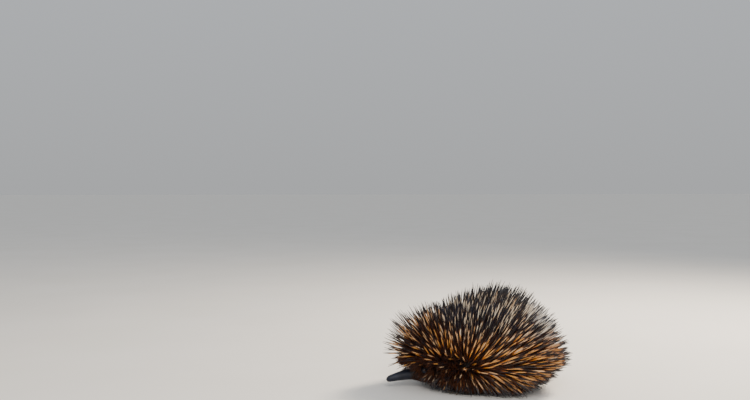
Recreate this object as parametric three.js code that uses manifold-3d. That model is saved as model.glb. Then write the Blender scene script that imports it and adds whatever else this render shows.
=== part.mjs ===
// Short-beaked echidna, life size, hunkered down with its spiny mantle drawn forward over the head.
// Millimetres. +Z is up, -Y is the way the beak points, +X is the animal's left, and the soles stand on Z = 0.
import * as THREE from "three";
import { mergeVertices } from "three/addons/utils/BufferGeometryUtils.js";
import { ParametricGeometry } from "three/addons/geometries/ParametricGeometry.js";
import Module from "manifold-3d";

const wasm = await Module();
wasm.setup();

// Driving dimensions of the trunk, which is the body under its spines.
const TRUNK_FRONT = -172; // foremost point of the mantle over the brow
const TRUNK_REAR = 100; // rump, above the tail
const TRUNK_TOP = 142; // height of the skin at the top of the back
const TRUNK_HALF_WIDTH = 103;
const BELLY_CLEARANCE = 8;
const WIDEST_HEIGHT = 47; // height of the widest line of the flanks
const BROW_HEIGHT = 64; // height of the mantle's foremost point
const RUMP_HEIGHT = 46;
const TOP_APEX_Y = 4;
const WIDTH_APEX_Y = 8;
const SQUARENESS = 2.15; // 2 is an ellipse, more is boxier

// Planes that part the head, neck and torso.
const HEAD_CUT_Y = -101;
const NECK_CUT_Y = -76;

// Gap kept between touching pieces, and how far each spine's root is sunk in the skin.
const GAP = 0.3;
const ROOT_DEPTH = 7;

// Spines: spacing of the roots, thickness and lengths.
const SPINE_SPACING = 9.5;
const FRINGE_SPACING = 8; // along the low edge of the coat
const SPINE_RADIUS = 1.7;
const BACK_SPINE = 53;
const SPINE_GAP = 0.5; // least gap between spines of different pieces, and to the limbs
const SHORTEST_SPINE = 14;
const TIP_CLEARANCE = 2; // lowest height of a spine's tip over the ground
const DRAWS = 24000; // places tried for a spine, enough to fill the coat at its spacing
const SWIRL_Y = -96; // swirl of the coat over each shoulder, from which the spines fan out
const SWIRL_Z = 48;
const SWIRL_REACH = 48; // distance from the swirl at which they lean in full

// Beak.
const BEAK_TIP_Y = -213;
const BEAK_ROOT_Y = -158;
const BEAK_TIP_Z = 17.2;
const BEAK_ROOT_Z = 27.6;

// Soles and limbs.
const ANKLE_HEIGHT = 15;
const EYE_RADIUS = 4.3;

// Small helpers.
const clamp01 = (v) => Math.min(1, Math.max(0, v));
const mix = (a, b, t) => a + (b - a) * t;

function smooth(from, to, v) {
  const t = clamp01((v - from) / (to - from));
  return t * t * (3 - 2 * t);
}

function seededRandom(seed) {
  let state = seed;
  return () => {
    state = (state + 0x6d2b79f5) | 0;
    let t = Math.imul(state ^ (state >>> 15), 1 | state);
    t = (t + Math.imul(t ^ (t >>> 7), 61 | t)) ^ t;
    return ((t ^ (t >>> 14)) >>> 0) / 4294967296;
  };
}

// Fullness of a superellipse quadrant: 1 at v = 0, closing to 0 at v = 1.
const quadrant = (v, power, root) => Math.pow(Math.max(0, 1 - Math.pow(clamp01(v), power)), root);

// Fullness along the trunk from an apex, with one quadrant forward of it and another behind.
function alongTrunk(y, apex, front, rear) {
  return y < apex
    ? quadrant((apex - y) / (apex - TRUNK_FRONT), ...front)
    : quadrant((y - apex) / (TRUNK_REAR - apex), ...rear);
}

// Section of the trunk at y: half width, top, height of the widest line, bottom.
function trunkSection(y) {
  const pole = y < WIDTH_APEX_Y ? BROW_HEIGHT : RUMP_HEIGHT;
  const wide = TRUNK_HALF_WIDTH * alongTrunk(y, WIDTH_APEX_Y, [1.5, 0.72], [2.2, 0.48]);
  const top = mix(pole, TRUNK_TOP, alongTrunk(y, TOP_APEX_Y, [1.8, 0.6], [2, 0.6]));
  const middle = mix(pole, WIDEST_HEIGHT, alongTrunk(y, WIDTH_APEX_Y, [2, 0.8], [3, 0.6]));
  const bottom = mix(middle, BELLY_CLEARANCE, alongTrunk(y, WIDTH_APEX_Y, [2.3, 0.95], [4, 0.5]));
  return { wide, top, middle, bottom };
}

// Point on the trunk: angle 0 is the ridge of the back, +90 degrees the left flank, 180 the belly.
function trunkPoint(y, angle) {
  const { wide, top, middle, bottom } = trunkSection(y);
  const s = Math.sin(angle);
  const c = Math.cos(angle);
  const across = Math.sign(s) * Math.pow(Math.abs(s), 2 / SQUARENESS);
  const up = Math.pow(Math.abs(c), 2 / SQUARENESS);
  const z = c > 0 ? mix(middle, top, up) : mix(middle, bottom, up);
  return new THREE.Vector3(wide * across, y, z);
}

// Closed tube of rings: ringPoint(t, angle) for t from 0 to 1, closed by a point at each end.
function loft(ringPoint, around, along) {
  const centre = (t) => {
    const a = ringPoint(t, 0);
    const b = ringPoint(t, Math.PI);
    return a.add(b).multiplyScalar(0.5);
  };
  const rows = along + 2;
  return new ParametricGeometry(
    (u, v, target) => {
      const row = Math.round(v * rows);
      const t = clamp01((row - 1) / along);
      const atEnd = row === 0 || row === rows;
      target.copy(atEnd ? centre(t) : ringPoint(t, u * 2 * Math.PI));
    },
    around,
    rows,
  );
}

// The geometry with shared corners merged, collapsed triangles dropped and its faces pointing out.
function welded(geometry) {
  const bare = geometry.clone();
  bare.deleteAttribute("normal");
  bare.deleteAttribute("uv");
  const merged = mergeVertices(bare, 1e-3);
  const old = merged.index.array;
  const corner = (i) => new THREE.Vector3().fromBufferAttribute(merged.attributes.position, i);
  const kept = [];
  let volume = 0;
  for (let i = 0; i < old.length; i += 3) {
    const [a, b, c] = old.slice(i, i + 3);
    if (a === b || b === c || c === a) continue;
    kept.push(a, b, c);
    volume += corner(a).dot(corner(b).cross(corner(c)));
  }
  merged.setIndex(volume < 0 ? kept.reverse() : kept);
  return merged;
}

// A closed geometry as a solid, grown outwards along its normals by the given distance.
function solidOf(geometry, grow = 0) {
  const shape = welded(geometry);
  if (grow) {
    shape.computeVertexNormals();
    const { position, normal } = shape.attributes;
    for (let i = 0; i < position.count; i++) {
      position.setXYZ(
        i,
        position.getX(i) + grow * normal.getX(i),
        position.getY(i) + grow * normal.getY(i),
        position.getZ(i) + grow * normal.getZ(i),
      );
    }
  }
  return new wasm.Manifold(
    new wasm.Mesh({
      numProp: 3,
      vertProperties: new Float32Array(shape.attributes.position.array),
      triVerts: new Uint32Array(shape.index.array),
    }),
  );
}

// Several geometries as one solid.
const joined = (geometries, grow = 0) => wasm.Manifold.union(geometries.map((g) => solidOf(g, grow)));

// The largest closed surface of a solid: loose scraps and sealed hollows go.
function largest(solid) {
  const pieces = solid.decompose();
  return pieces.reduce((best, piece) => (piece.volume() > best.volume() ? piece : best));
}

const group = new THREE.Group();

function addNode(name, solid, colour, roughness) {
  const { numProp, numVert, vertProperties, triVerts } = largest(solid).getMesh();
  const corners = new Float32Array(numVert * 3);
  for (let i = 0; i < numVert; i++) {
    corners.set(vertProperties.subarray(i * numProp, i * numProp + 3), i * 3);
  }
  const geometry = new THREE.BufferGeometry();
  geometry.setAttribute("position", new THREE.BufferAttribute(corners, 3));
  geometry.setIndex(new THREE.BufferAttribute(new Uint32Array(triVerts), 1));
  geometry.computeVertexNormals();
  const material = new THREE.MeshStandardMaterial({ color: colour, roughness, metalness: 0 });
  const mesh = new THREE.Mesh(geometry, material);
  mesh.name = name;
  group.add(mesh);
}

const COAT = 0x6b4a2c;
const FUR = 0x33241a;
const BEAK_SKIN = 0x23262c;
const EYE = 0x0b0a0a;
const CLAW = 0x2b2622;

// Trunk under the spines.
const trunkY = (t) => mix(TRUNK_REAR, TRUNK_FRONT, 0.5 - 0.5 * Math.cos(Math.PI * t));
const trunkShape = () => loft((t, angle) => trunkPoint(trunkY(t), angle), 28, 24);

// Skull, cheeks and throat, which hang under the front of the mantle.
const SKULL_STATIONS = [
  // y, half width, half height, height of the centre
  [-173, 10.7, 10.1, 25.4],
  [-161, 13, 12, 27.6],
  [-149, 19, 16.4, 31],
  [-136, 25, 20.3, 34.4],
  [-120, 31, 24.5, 37.2],
  [-102, 35, 27.5, 39.2],
  [-84, 34, 27, 39.6],
];
const skullCurve = new THREE.CatmullRomCurve3(
  SKULL_STATIONS.map(([y, wide, , centre]) => new THREE.Vector3(wide, y, centre)),
);
const skullHeights = new THREE.SplineCurve(SKULL_STATIONS.map(([y, , high]) => new THREE.Vector2(y, high)));

function skullPoint(t, angle) {
  const { x: wide, y, z: centre } = skullCurve.getPoint(t);
  const high = skullHeights.getPoint(t).y;
  return new THREE.Vector3(-wide * Math.sin(angle), y, centre + high * Math.cos(angle));
}
const skullShape = () => loft(skullPoint, 18, 9);

// Beak: stout at its root, nearly straight, round at the tip.
function beakPoint(t, angle) {
  const y = mix(BEAK_ROOT_Y, BEAK_TIP_Y, Math.sin((t * Math.PI) / 2));
  const s = (BEAK_ROOT_Y - y) / (BEAK_ROOT_Y - BEAK_TIP_Y);
  const round = quadrant((s - 0.84) / 0.16, 2, 0.5);
  const half = mix(11.6, 5.4, Math.pow(s, 1.5)) * round;
  const centre = mix(BEAK_ROOT_Z, BEAK_TIP_Z, s) + 0.9 * Math.sin(s * Math.PI);
  return new THREE.Vector3(-half * Math.sin(angle), y, centre + 0.94 * half * Math.cos(angle));
}

function placed(geometry, x, y, z) {
  geometry.translate(x, y, z);
  return geometry;
}

const beakShape = () => loft(beakPoint, 14, 9);

function makeBeak() {
  const nostril = (side) => {
    const pit = new THREE.SphereGeometry(1, 8, 6);
    pit.scale(0.8, 1.7, 1.1);
    pit.rotateZ(side * 0.35);
    return placed(pit, side * 2, BEAK_TIP_Y + 5.2, BEAK_TIP_Z + 3.9);
  };
  const mouth = new THREE.BoxGeometry(14, 10, 0.7);
  mouth.rotateX(-0.1);
  placed(mouth, 0, BEAK_TIP_Y + 3.6, BEAK_TIP_Z - 2.1);
  return solidOf(beakShape())
    .subtract(joined([nostril(1), nostril(-1), mouth]))
    .subtract(solidOf(skullShape(), GAP))
    .subtract(solidOf(trunkShape(), GAP));
}

// Eyes, each in a socket with a raised lid, on the sides of the skull.
const EYE_PLACE = new THREE.Vector3(20.2, -142, 37.8);
const EYE_AIM = new THREE.Vector3(0.86, -0.42, 0.28).normalize();

function eyeShape(side) {
  const ball = new THREE.SphereGeometry(EYE_RADIUS, 12, 8);
  return placed(ball, side * EYE_PLACE.x, EYE_PLACE.y, EYE_PLACE.z);
}

function lidShape(side) {
  const lid = new THREE.TorusGeometry(EYE_RADIUS + 0.5, 1.5, 5, 12);
  lid.scale(1.15, 0.9, 1);
  const aim = EYE_AIM.clone().multiply(new THREE.Vector3(side, 1, 1));
  lid.applyQuaternion(new THREE.Quaternion().setFromUnitVectors(new THREE.Vector3(0, 0, 1), aim));
  const centre = EYE_PLACE.clone().multiply(new THREE.Vector3(side, 1, 1)).addScaledVector(aim, 1.6);
  return placed(lid, centre.x, centre.y, centre.z);
}

// Ears: upright cups behind the eyes.
const EAR_PLACE = new THREE.Vector3(41, -119, 42);

function earShape(side) {
  const outer = new THREE.SphereGeometry(1, 12, 8);
  outer.scale(7, 6.5, 11);
  return placed(outer, side * EAR_PLACE.x, EAR_PLACE.y, EAR_PLACE.z);
}

function makeEar(side) {
  const hollow = new THREE.SphereGeometry(1, 10, 8);
  hollow.scale(5, 3.6, 8.2);
  placed(hollow, side * (EAR_PLACE.x + 5.5), EAR_PLACE.y - 1.5, EAR_PLACE.z);
  return solidOf(earShape(side))
    .subtract(solidOf(hollow))
    .subtract(solidOf(skullShape(), GAP))
    .subtract(solidOf(trunkShape(), GAP));
}

// Tail: a short stub under the rump.
function tailPoint(t, angle) {
  const half = mix(19, 7, t) * quadrant((t - 0.8) / 0.2, 2, 0.5);
  const y = mix(72, 114, t);
  const centre = mix(33, 15, smooth(0, 1, t));
  return new THREE.Vector3(half * Math.sin(angle), y, centre + 0.8 * half * Math.cos(angle));
}
const tailShape = () => loft(tailPoint, 12, 7);

// Limbs: a stout leg, a flat-soled foot with five toes, and a claw to each toe.
const FRONT_LIMB = {
  name: "front",
  foot: [57, -68],
  hip: [54, -50, 43],
  aim: -92,
  spread: 19,
  palm: [17, 15],
  legRadius: [22, 14],
  claws: [
    [15, 3],
    [19, 3.5],
    [21, 3.6],
    [19, 3.4],
    [14, 3],
  ],
  clawDrop: 2.5,
};
const HIND_LIMB = {
  name: "hind",
  foot: [52, 17],
  hip: [55, 8, 44],
  aim: 86,
  spread: 17,
  palm: [19, 15],
  legRadius: [26, 15],
  claws: [
    [9, 2.8],
    [25, 3.2],
    [19, 3],
    [12, 2.6],
    [10, 2.4],
  ],
  clawDrop: 3.5,
};
const TOE_HEIGHT = 5.2;
const TOE_RADIUS = 4.6;

// Bearing in degrees of each toe about the vertical, counted from +X, for the left side.
const toeBearing = (limb, i) => THREE.MathUtils.degToRad(limb.aim + (i - 2) * limb.spread);

function toeEnd(limb, side, i) {
  const bearing = toeBearing(limb, i);
  const reach = limb.palm[0] + 5;
  const x = side * (limb.foot[0] + reach * Math.cos(bearing));
  return new THREE.Vector3(x, limb.foot[1] + reach * Math.sin(bearing), TOE_HEIGHT);
}

function toeShape(limb, side, i) {
  const end = toeEnd(limb, side, i);
  const length = limb.palm[0] * 0.9;
  const toe = new THREE.CylinderGeometry(TOE_RADIUS, TOE_RADIUS + 1, length, 7);
  toe.translate(0, -length / 2, 0);
  toe.rotateZ(-Math.PI / 2);
  const bearing = toeBearing(limb, i);
  toe.rotateZ(side > 0 ? bearing : Math.PI - bearing);
  return placed(toe, end.x, end.y, end.z);
}

function limbShapes(limb, side) {
  const [footX, footY] = limb.foot;
  const palm = new THREE.SphereGeometry(1, 12, 7);
  palm.scale(limb.palm[0], limb.palm[0], limb.palm[1]);
  placed(palm, side * footX, footY, 4);
  const hip = new THREE.Vector3(side * limb.hip[0], limb.hip[1], limb.hip[2]);
  const ankle = new THREE.Vector3(side * footX, footY, 6);
  const leg = loft(
    (t, angle) => {
      const half = mix(...limb.legRadius, smooth(0, 1, t));
      const centre = hip.clone().lerp(ankle, t);
      return new THREE.Vector3(
        centre.x - half * Math.sin(angle),
        centre.y + half * Math.cos(angle),
        centre.z,
      );
    },
    12,
    3,
  );
  return [palm, leg, ...limb.claws.map((_, i) => toeShape(limb, side, i))];
}

// Claw: a curved, tapering blade with a rounded back, its root flat against the toe.
function clawShape(limb, side, i) {
  const [length, halfWidth] = limb.claws[i];
  const bearing = toeBearing(limb, i);
  const heading = new THREE.Vector3(side * Math.cos(bearing), Math.sin(bearing), 0);
  const sideways = new THREE.Vector3(0, 0, 1).cross(heading);
  const start = toeEnd(limb, side, i).addScaledVector(heading, GAP);
  const hook = limb.name === "hind" && i === 1 ? 9 : 0; // the long grooming claw bends back
  return loft(
    (t, angle) => {
      const taper = Math.pow(1 - 0.93 * t, 0.6);
      const centre = start
        .clone()
        .addScaledVector(heading, length * t)
        .addScaledVector(sideways, side * hook * t * t);
      centre.z -= limb.clawDrop * t * t;
      return centre
        .addScaledVector(sideways, halfWidth * taper * Math.sin(angle))
        .add(new THREE.Vector3(0, 0, 0.62 * halfWidth * taper * Math.cos(angle)));
    },
    6,
    3,
  );
}

// Skin point with its outward normal.
function skinFrame(y, angle) {
  const point = trunkPoint(y, angle);
  const step = 0.4;
  const back = trunkPoint(y + step, angle).sub(trunkPoint(y - step, angle));
  const down = trunkPoint(y, angle + 0.01).sub(trunkPoint(y, angle - 0.01));
  const normal = back.cross(down).normalize();
  const outward = point.clone().sub(new THREE.Vector3(0, y, WIDEST_HEIGHT));
  if (normal.dot(outward) < 0) normal.negate();
  return { point, normal };
}

// Lie and length of a spine. It stands straight out at the swirl, and round it the spines fan forwards over the
// brow, up the flank, back over the rump and down along the fringe.
function spineAt(y, angle) {
  const { point, normal } = skinFrame(y, angle);
  const ahead = y - SWIRL_Y;
  const steep = mix(1.6, 2.2, smooth(-40, 40, ahead)) - 1.1 * clamp01(normal.z) ** 2;
  const fan = new THREE.Vector3(0, ahead, steep * (point.z - SWIRL_Z));
  const ridge = smooth(0.6, 0.95, normal.z);
  const rump = smooth(0.2, 0.8, normal.y);
  const brow = smooth(-0.2, -0.8, normal.y);
  const hem = smooth(42, 24, point.z);
  const fullLean = THREE.MathUtils.degToRad(58 - 12 * ridge - 26 * rump - 24 * brow - 18 * hem);
  const lean = fullLean * smooth(0, SWIRL_REACH, fan.length());
  const direction = fan.normalize().multiplyScalar(Math.tan(lean)).add(normal).normalize();
  const low = smooth(54, 26, point.z);
  const fore = smooth(-115, -150, y) * smooth(68, 86, point.z);
  const nape = ridge * smooth(-140, -115, y) * smooth(-60, -90, y);
  const crown = ridge * smooth(-60, -20, y) * smooth(60, 30, y);
  const midway = smooth(-85, -50, y) * smooth(45, 10, y);
  const stern = smooth(35, 90, y);
  const face = smooth(60, 46, point.z) * smooth(-125, -145, y);
  const shorter = (13 - 18 * midway + 9 * stern) * low + 22 * face;
  const length = BACK_SPINE + 10 * fore - 8 * nape + 8 * crown - 5 * stern - shorter;
  return { point, normal, direction, length };
}

// Lowest height that the tips reach: near the ground, rising behind the hind legs to clear the tail.
const tipFloor = (y) => Math.max(TIP_CLEARANCE, 0.48 * (y - 18));

// Lowest height at which spines grow: above the belly fur, and higher on the brow and the rump.
const coatEdge = (y) => 22 + 18 * smooth(-95, -138, y) + 14 * smooth(15, 75, y);

// Name of the piece of the trunk that a spine at y grows from, or null on a parting cut.
function pieceAt(y) {
  const margin = ROOT_DEPTH / 2;
  if (Math.abs(y - HEAD_CUT_Y) < margin || Math.abs(y - NECK_CUT_Y) < margin) return null;
  if (y < HEAD_CUT_Y) return "head";
  return y < NECK_CUT_Y ? "neck" : "torso";
}

// Spine: a three-sided spindle, thickest a little above the skin, its root a point sunk straight in.
function spineShape({ shaft, normal, radius, roll }) {
  const direction = shaft.delta(new THREE.Vector3()).normalize();
  const thickest = shaft.at(0.12, new THREE.Vector3());
  const side = new THREE.Vector3(0, 0, 1).cross(direction).normalize().applyAxisAngle(direction, roll);
  const root = shaft.start.clone().addScaledVector(normal, -ROOT_DEPTH);
  const ring = [0, 1, 2].map((i) =>
    side.clone().applyAxisAngle(direction, (i * 2 * Math.PI) / 3).multiplyScalar(radius).add(thickest),
  );
  const spine = new THREE.BufferGeometry().setFromPoints([root, ...ring, shaft.end]);
  spine.setIndex([0, 2, 1, 0, 3, 2, 0, 1, 3, 4, 1, 2, 4, 2, 3, 4, 3, 1]);
  return spine;
}

// True if two spines come closer than the gap that different pieces keep.
function tooClose(a, b) {
  const reach = a.radius + b.radius + SPINE_GAP;
  return a.piece !== b.piece && a.shaft.distanceSqToLine3(b.shaft) < reach * reach;
}

// The spines of the whole coat, set at random but evenly, each shortened until it clears the obstacles.
function growSpines(obstacles) {
  const random = seededRandom(7);
  const centred = (spread) => spread * (random() + random() + random() - 1.5);
  const spines = [];
  for (let draw = 0; draw < DRAWS; draw++) {
    const y = mix(TRUNK_FRONT + 0.5, TRUNK_REAR - 0.5, random());
    const angle = mix(-2.1, 2.1, random());
    const piece = pieceAt(y);
    const start = trunkPoint(y, angle);
    if (!piece || start.z < coatEdge(y)) continue;
    const spacing = mix(SPINE_SPACING, FRINGE_SPACING, smooth(54, 36, start.z));
    if (spines.some(({ shaft }) => shaft.start.distanceTo(start) < spacing)) continue;
    const { normal, direction, length } = spineAt(y, angle);
    direction.add(new THREE.Vector3(centred(0.12), centred(0.12), centred(0.12))).normalize();
    const end = start.clone().addScaledVector(direction, length * mix(0.86, 1.06, random()));
    end.z = Math.max(end.z, tipFloor(end.y) + 6 * random());
    const shaft = new THREE.Line3(start, end);
    const radius = SPINE_RADIUS * mix(0.88, 1.08, random());
    const spine = { piece, shaft, normal, radius, roll: 2 * Math.PI * random() };
    const blocked = () =>
      spines.some((other) => tooClose(spine, other)) ||
      !solidOf(spineShape(spine)).intersect(obstacles).isEmpty();
    while (shaft.distance() > SHORTEST_SPINE && blocked()) shaft.at(0.85, shaft.end);
    if (!blocked()) spines.push(spine);
  }
  return spines;
}

const trunk = solidOf(trunkShape());
const skull = solidOf(skullShape());
const bodyGrown = wasm.Manifold.union([solidOf(trunkShape(), GAP), solidOf(skullShape(), GAP)]);

const SIDES = [
  ["left", 1],
  ["right", -1],
];

const limbs = [];
for (const limb of [FRONT_LIMB, HIND_LIMB]) {
  for (const [sideName, side] of SIDES) {
    const shapes = limbShapes(limb, side);
    const claws = limb.claws.map((_, i) => clawShape(limb, side, i));
    limbs.push({ limb, sideName, shapes, claws });
  }
}

const tail = solidOf(tailShape());
const obstacles = wasm.Manifold.union([
  ...SIDES.flatMap(([, side]) => [eyeShape(side), earShape(side)]).map((g) => solidOf(g, SPINE_GAP)),
  ...limbs.flatMap(({ shapes, claws }) => [...shapes, ...claws]).map((g) => solidOf(g, SPINE_GAP)),
  solidOf(beakShape(), SPINE_GAP),
  solidOf(tailShape(), SPINE_GAP).subtract(trunk),
]);

// The trunk and skull, parted by the two cuts, each piece with the spines that grow from it.
const flesh = trunk
  .add(skull)
  .add(joined([lidShape(1), lidShape(-1)]))
  .subtract(joined([eyeShape(1), eyeShape(-1)], GAP));
const behind = (solid, y) => solid.trimByPlane([0, 1, 0], y + GAP / 2);
const before = (solid, y) => solid.trimByPlane([0, -1, 0], -y + GAP / 2);
const pieces = {
  head: before(flesh, HEAD_CUT_Y),
  neck: before(behind(flesh, HEAD_CUT_Y), NECK_CUT_Y),
  torso: behind(flesh, NECK_CUT_Y),
};
const spines = growSpines(obstacles);
for (const [name, piece] of Object.entries(pieces)) {
  const own = spines.filter((spine) => spine.piece === name).map(spineShape);
  addNode(name, piece.add(joined(own)), COAT, 0.7);
}

addNode("beak", makeBeak(), BEAK_SKIN, 0.5);
addNode("tail", tail.subtract(bodyGrown), COAT, 0.7);
for (const [sideName, side] of SIDES) {
  addNode("eye_" + sideName, solidOf(eyeShape(side)), EYE, 0.15);
  addNode("ear_" + sideName, makeEar(side), FUR, 0.8);
}
for (const { limb, sideName, shapes, claws } of limbs) {
  const whole = joined(shapes).trimByPlane([0, 0, 1], 0).subtract(bodyGrown);
  const tag = limb.name + "_" + sideName;
  addNode("leg_" + tag, whole.trimByPlane([0, 0, 1], ANKLE_HEIGHT + GAP), FUR, 0.85);
  addNode("foot_" + tag, whole.trimByPlane([0, 0, -1], -ANKLE_HEIGHT), FUR, 0.85);
  claws.forEach((claw, i) => addNode("claw_" + tag + "_" + (i + 1), solidOf(claw), CLAW, 0.45));
}

// The origin goes under the middle of the whole animal.
const extent = new THREE.Box3().setFromObject(group);
const middle = extent.getCenter(new THREE.Vector3());
group.position.set(-middle.x, -middle.y, 0);

export default group;
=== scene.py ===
"""Short-beaked echidna, life size: one skin, a coat of spines and hair, eyes, ears and claws.

Lengths are millimetres in the animal's own axes (+Z up, -Y the way the beak points, +X its left) until a
shape becomes a Blender mesh, which is in metres and in the frame's place.
"""

from __future__ import annotations

import logging
import math
from dataclasses import dataclass, field
from enum import Enum
from typing import Callable

import bpy
import numpy as np
from mathutils import Matrix, Vector

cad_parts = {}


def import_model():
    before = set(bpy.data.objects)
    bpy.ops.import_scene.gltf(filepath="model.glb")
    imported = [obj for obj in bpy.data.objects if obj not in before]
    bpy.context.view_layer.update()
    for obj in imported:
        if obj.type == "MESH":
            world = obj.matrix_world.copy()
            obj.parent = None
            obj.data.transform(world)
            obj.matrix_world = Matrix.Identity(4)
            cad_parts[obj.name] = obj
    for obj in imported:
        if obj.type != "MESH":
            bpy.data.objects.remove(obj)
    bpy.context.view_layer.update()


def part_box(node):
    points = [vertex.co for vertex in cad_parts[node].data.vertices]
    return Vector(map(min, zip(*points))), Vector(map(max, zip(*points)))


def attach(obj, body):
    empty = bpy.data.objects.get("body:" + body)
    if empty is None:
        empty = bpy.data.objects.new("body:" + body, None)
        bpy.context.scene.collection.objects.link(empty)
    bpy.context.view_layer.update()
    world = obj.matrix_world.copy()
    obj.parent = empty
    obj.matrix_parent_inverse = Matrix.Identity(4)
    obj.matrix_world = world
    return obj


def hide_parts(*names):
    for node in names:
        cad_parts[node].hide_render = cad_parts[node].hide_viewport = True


LOG = logging.getLogger("echidna")
MM = 0.001
BODY = "root"
SIDES = {"left": 1.0, "right": -1.0}
# Shares of a strand's length at which it is tested against the eyes and ears.
CHECKED_SHARES = np.linspace(0, 1, 6)
# About a whole turn in radians, for turning strands round their own line.
WHOLE_TURN = 6.28
Values = float | np.ndarray
Colour = bpy.types.NodeSocket | tuple[float, ...]
Sockets = dict[str, bpy.types.NodeSocket]


class Slot(Enum):
    """Material slots of the record."""

    COAT = "spiny_coat"
    FUR = "dark_fur"
    BEAK = "beak_skin"
    EYE = "eye"
    CLAW = "claw"


def mix(low: Values, high: Values, share: Values) -> Values:
    """Straight blend from low to high by share."""
    return low + (high - low) * share


def smooth(start: float, end: float, value: Values) -> np.ndarray:
    """Smooth step of value, 0 before start and 1 after end, by 3t^2 - 2t^3."""
    t = np.clip((np.asarray(value, float) - start) / (end - start), 0, 1)
    return t * t * (3 - 2 * t)


def unit(vectors: np.ndarray) -> np.ndarray:
    """Vectors of length one along the last axis."""
    return vectors / np.maximum(np.linalg.norm(vectors, axis=-1, keepdims=True), 1e-9)


def quadrant(v: Values, power: float, root: float) -> np.ndarray:
    """Fullness of a superellipse quadrant, (1 - v^power)^root: 1 at v = 0, closing at v = 1."""
    return np.maximum(0, 1 - np.clip(v, 0, 1) ** power) ** root


def on_left(points: np.ndarray) -> np.ndarray:
    """The points, those of the right side mirrored to the left."""
    return np.concatenate([np.abs(points[:, :1]), points[:, 1:]], 1)


def axes(aim: tuple[float, float, float]) -> tuple[np.ndarray, np.ndarray, np.ndarray]:
    """Three directions at right angles that an eye or ear is built on.

    Args:
        aim: the way it faces.

    Returns:
        Unit vectors out along the aim, level towards the front and upright.
    """
    out = unit(np.array(aim))
    upright = unit(np.cross(np.cross(out, [0, 0, 1]), out))
    return out, np.cross(upright, out), upright


def from_axis(points: np.ndarray, middle: tuple, aim: tuple) -> tuple[np.ndarray, np.ndarray]:
    """Where points lie about the axis of an eye or ear.

    Args:
        points: places on either side of the animal, those of the right side mirrored to the left first.
        middle: middle of the left eye or ear.
        aim: the way it faces.

    Returns:
        Depth along the axis, and offset from the axis as vectors.
    """
    way = unit(np.array(aim))
    away = on_left(points) - np.array(middle)
    depth = away @ way
    return depth, away - depth[:, None] * way


@dataclass
class Shape:
    """Closed surface or many of them, in millimetres.

    points are the corners, quads and tris index them, values are named numbers per point, and patch is
    each point's place in the map that the colours are baked to.
    """

    points: np.ndarray
    quads: np.ndarray = field(default_factory=lambda: np.zeros((0, 4), int))
    tris: np.ndarray = field(default_factory=lambda: np.zeros((0, 3), int))
    values: dict[str, np.ndarray] = field(default_factory=dict)
    patch: np.ndarray | None = None


def joined(shapes: list[Shape]) -> Shape:
    """Several shapes as one, without fusing them.

    Args:
        shapes: the shapes, which carry the same values.

    Returns:
        Shape with the corners and faces of all.
    """
    starts = np.cumsum([0] + [len(s.points) for s in shapes[:-1]])
    names = shapes[0].values.keys()
    return Shape(
        np.concatenate([s.points for s in shapes]),
        np.concatenate([s.quads + k for s, k in zip(shapes, starts)]),
        np.concatenate([s.tris + k for s, k in zip(shapes, starts)]),
        {n: np.concatenate([s.values[n] for s in shapes]) for n in names},
    )


def tube(rings: np.ndarray) -> Shape:
    """Closed tube over a grid of rings, with a pole in the middle of the first and last ring.

    Args:
        rings: array (rows, around, 3), each row anticlockwise seen from the last row.

    Returns:
        Closed shape with faces outwards.
    """
    rows, around, _ = rings.shape
    points = np.concatenate([rings.reshape(-1, 3), rings[0].mean(0)[None], rings[-1].mean(0)[None]])
    grid = np.arange(rows * around).reshape(rows, around)
    after = np.roll(grid, -1, axis=1)
    quads = np.stack([grid[:-1], after[:-1], after[1:], grid[1:]], -1).reshape(-1, 4)
    first = np.stack([np.full(around, rows * around), after[0], grid[0]], -1)
    last = np.stack([np.full(around, rows * around + 1), grid[-1], after[-1]], -1)
    return outward(Shape(points, quads, np.concatenate([first, last])))


def outward(shape: Shape) -> Shape:
    """A closed shape with its faces outwards, told by its volume: a sixth of the sum of triple products.

    Args:
        shape: the shape, its faces all one way round.

    Returns:
        The shape, turned inside out if its volume counts as negative.
    """
    tris = np.concatenate([shape.tris, shape.quads[:, [0, 1, 2]], shape.quads[:, [0, 2, 3]]])
    a, b, c = (shape.points[tris[:, i]] for i in range(3))
    if (a * np.cross(b, c)).sum() / 6 > 0:
        return shape
    return Shape(shape.points, shape.quads[:, ::-1], shape.tris[:, ::-1])


def curve(stations: np.ndarray, at: np.ndarray) -> np.ndarray:
    """Smooth curve through stations: Catmull-Rom cubic Hermite pieces over the first column.

    Args:
        stations: rows of (position, value, value...), position increasing.
        at: positions to read.

    Returns:
        Array (len(at), values).
    """
    x, v = stations[:, 0], stations[:, 1:]
    slope = np.gradient(v, x, axis=0)
    i = np.clip(np.searchsorted(x, at) - 1, 0, len(x) - 2)
    h = (x[i + 1] - x[i])[:, None]
    t = np.clip((at - x[i])[:, None] / h, 0, 1)
    return (
        v[i] * (2 * t**3 - 3 * t**2 + 1)
        + v[i + 1] * (3 * t**2 - 2 * t**3)
        + slope[i] * h * (t**3 - 2 * t**2 + t)
        + slope[i + 1] * h * (t**3 - t**2)
    )


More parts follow.
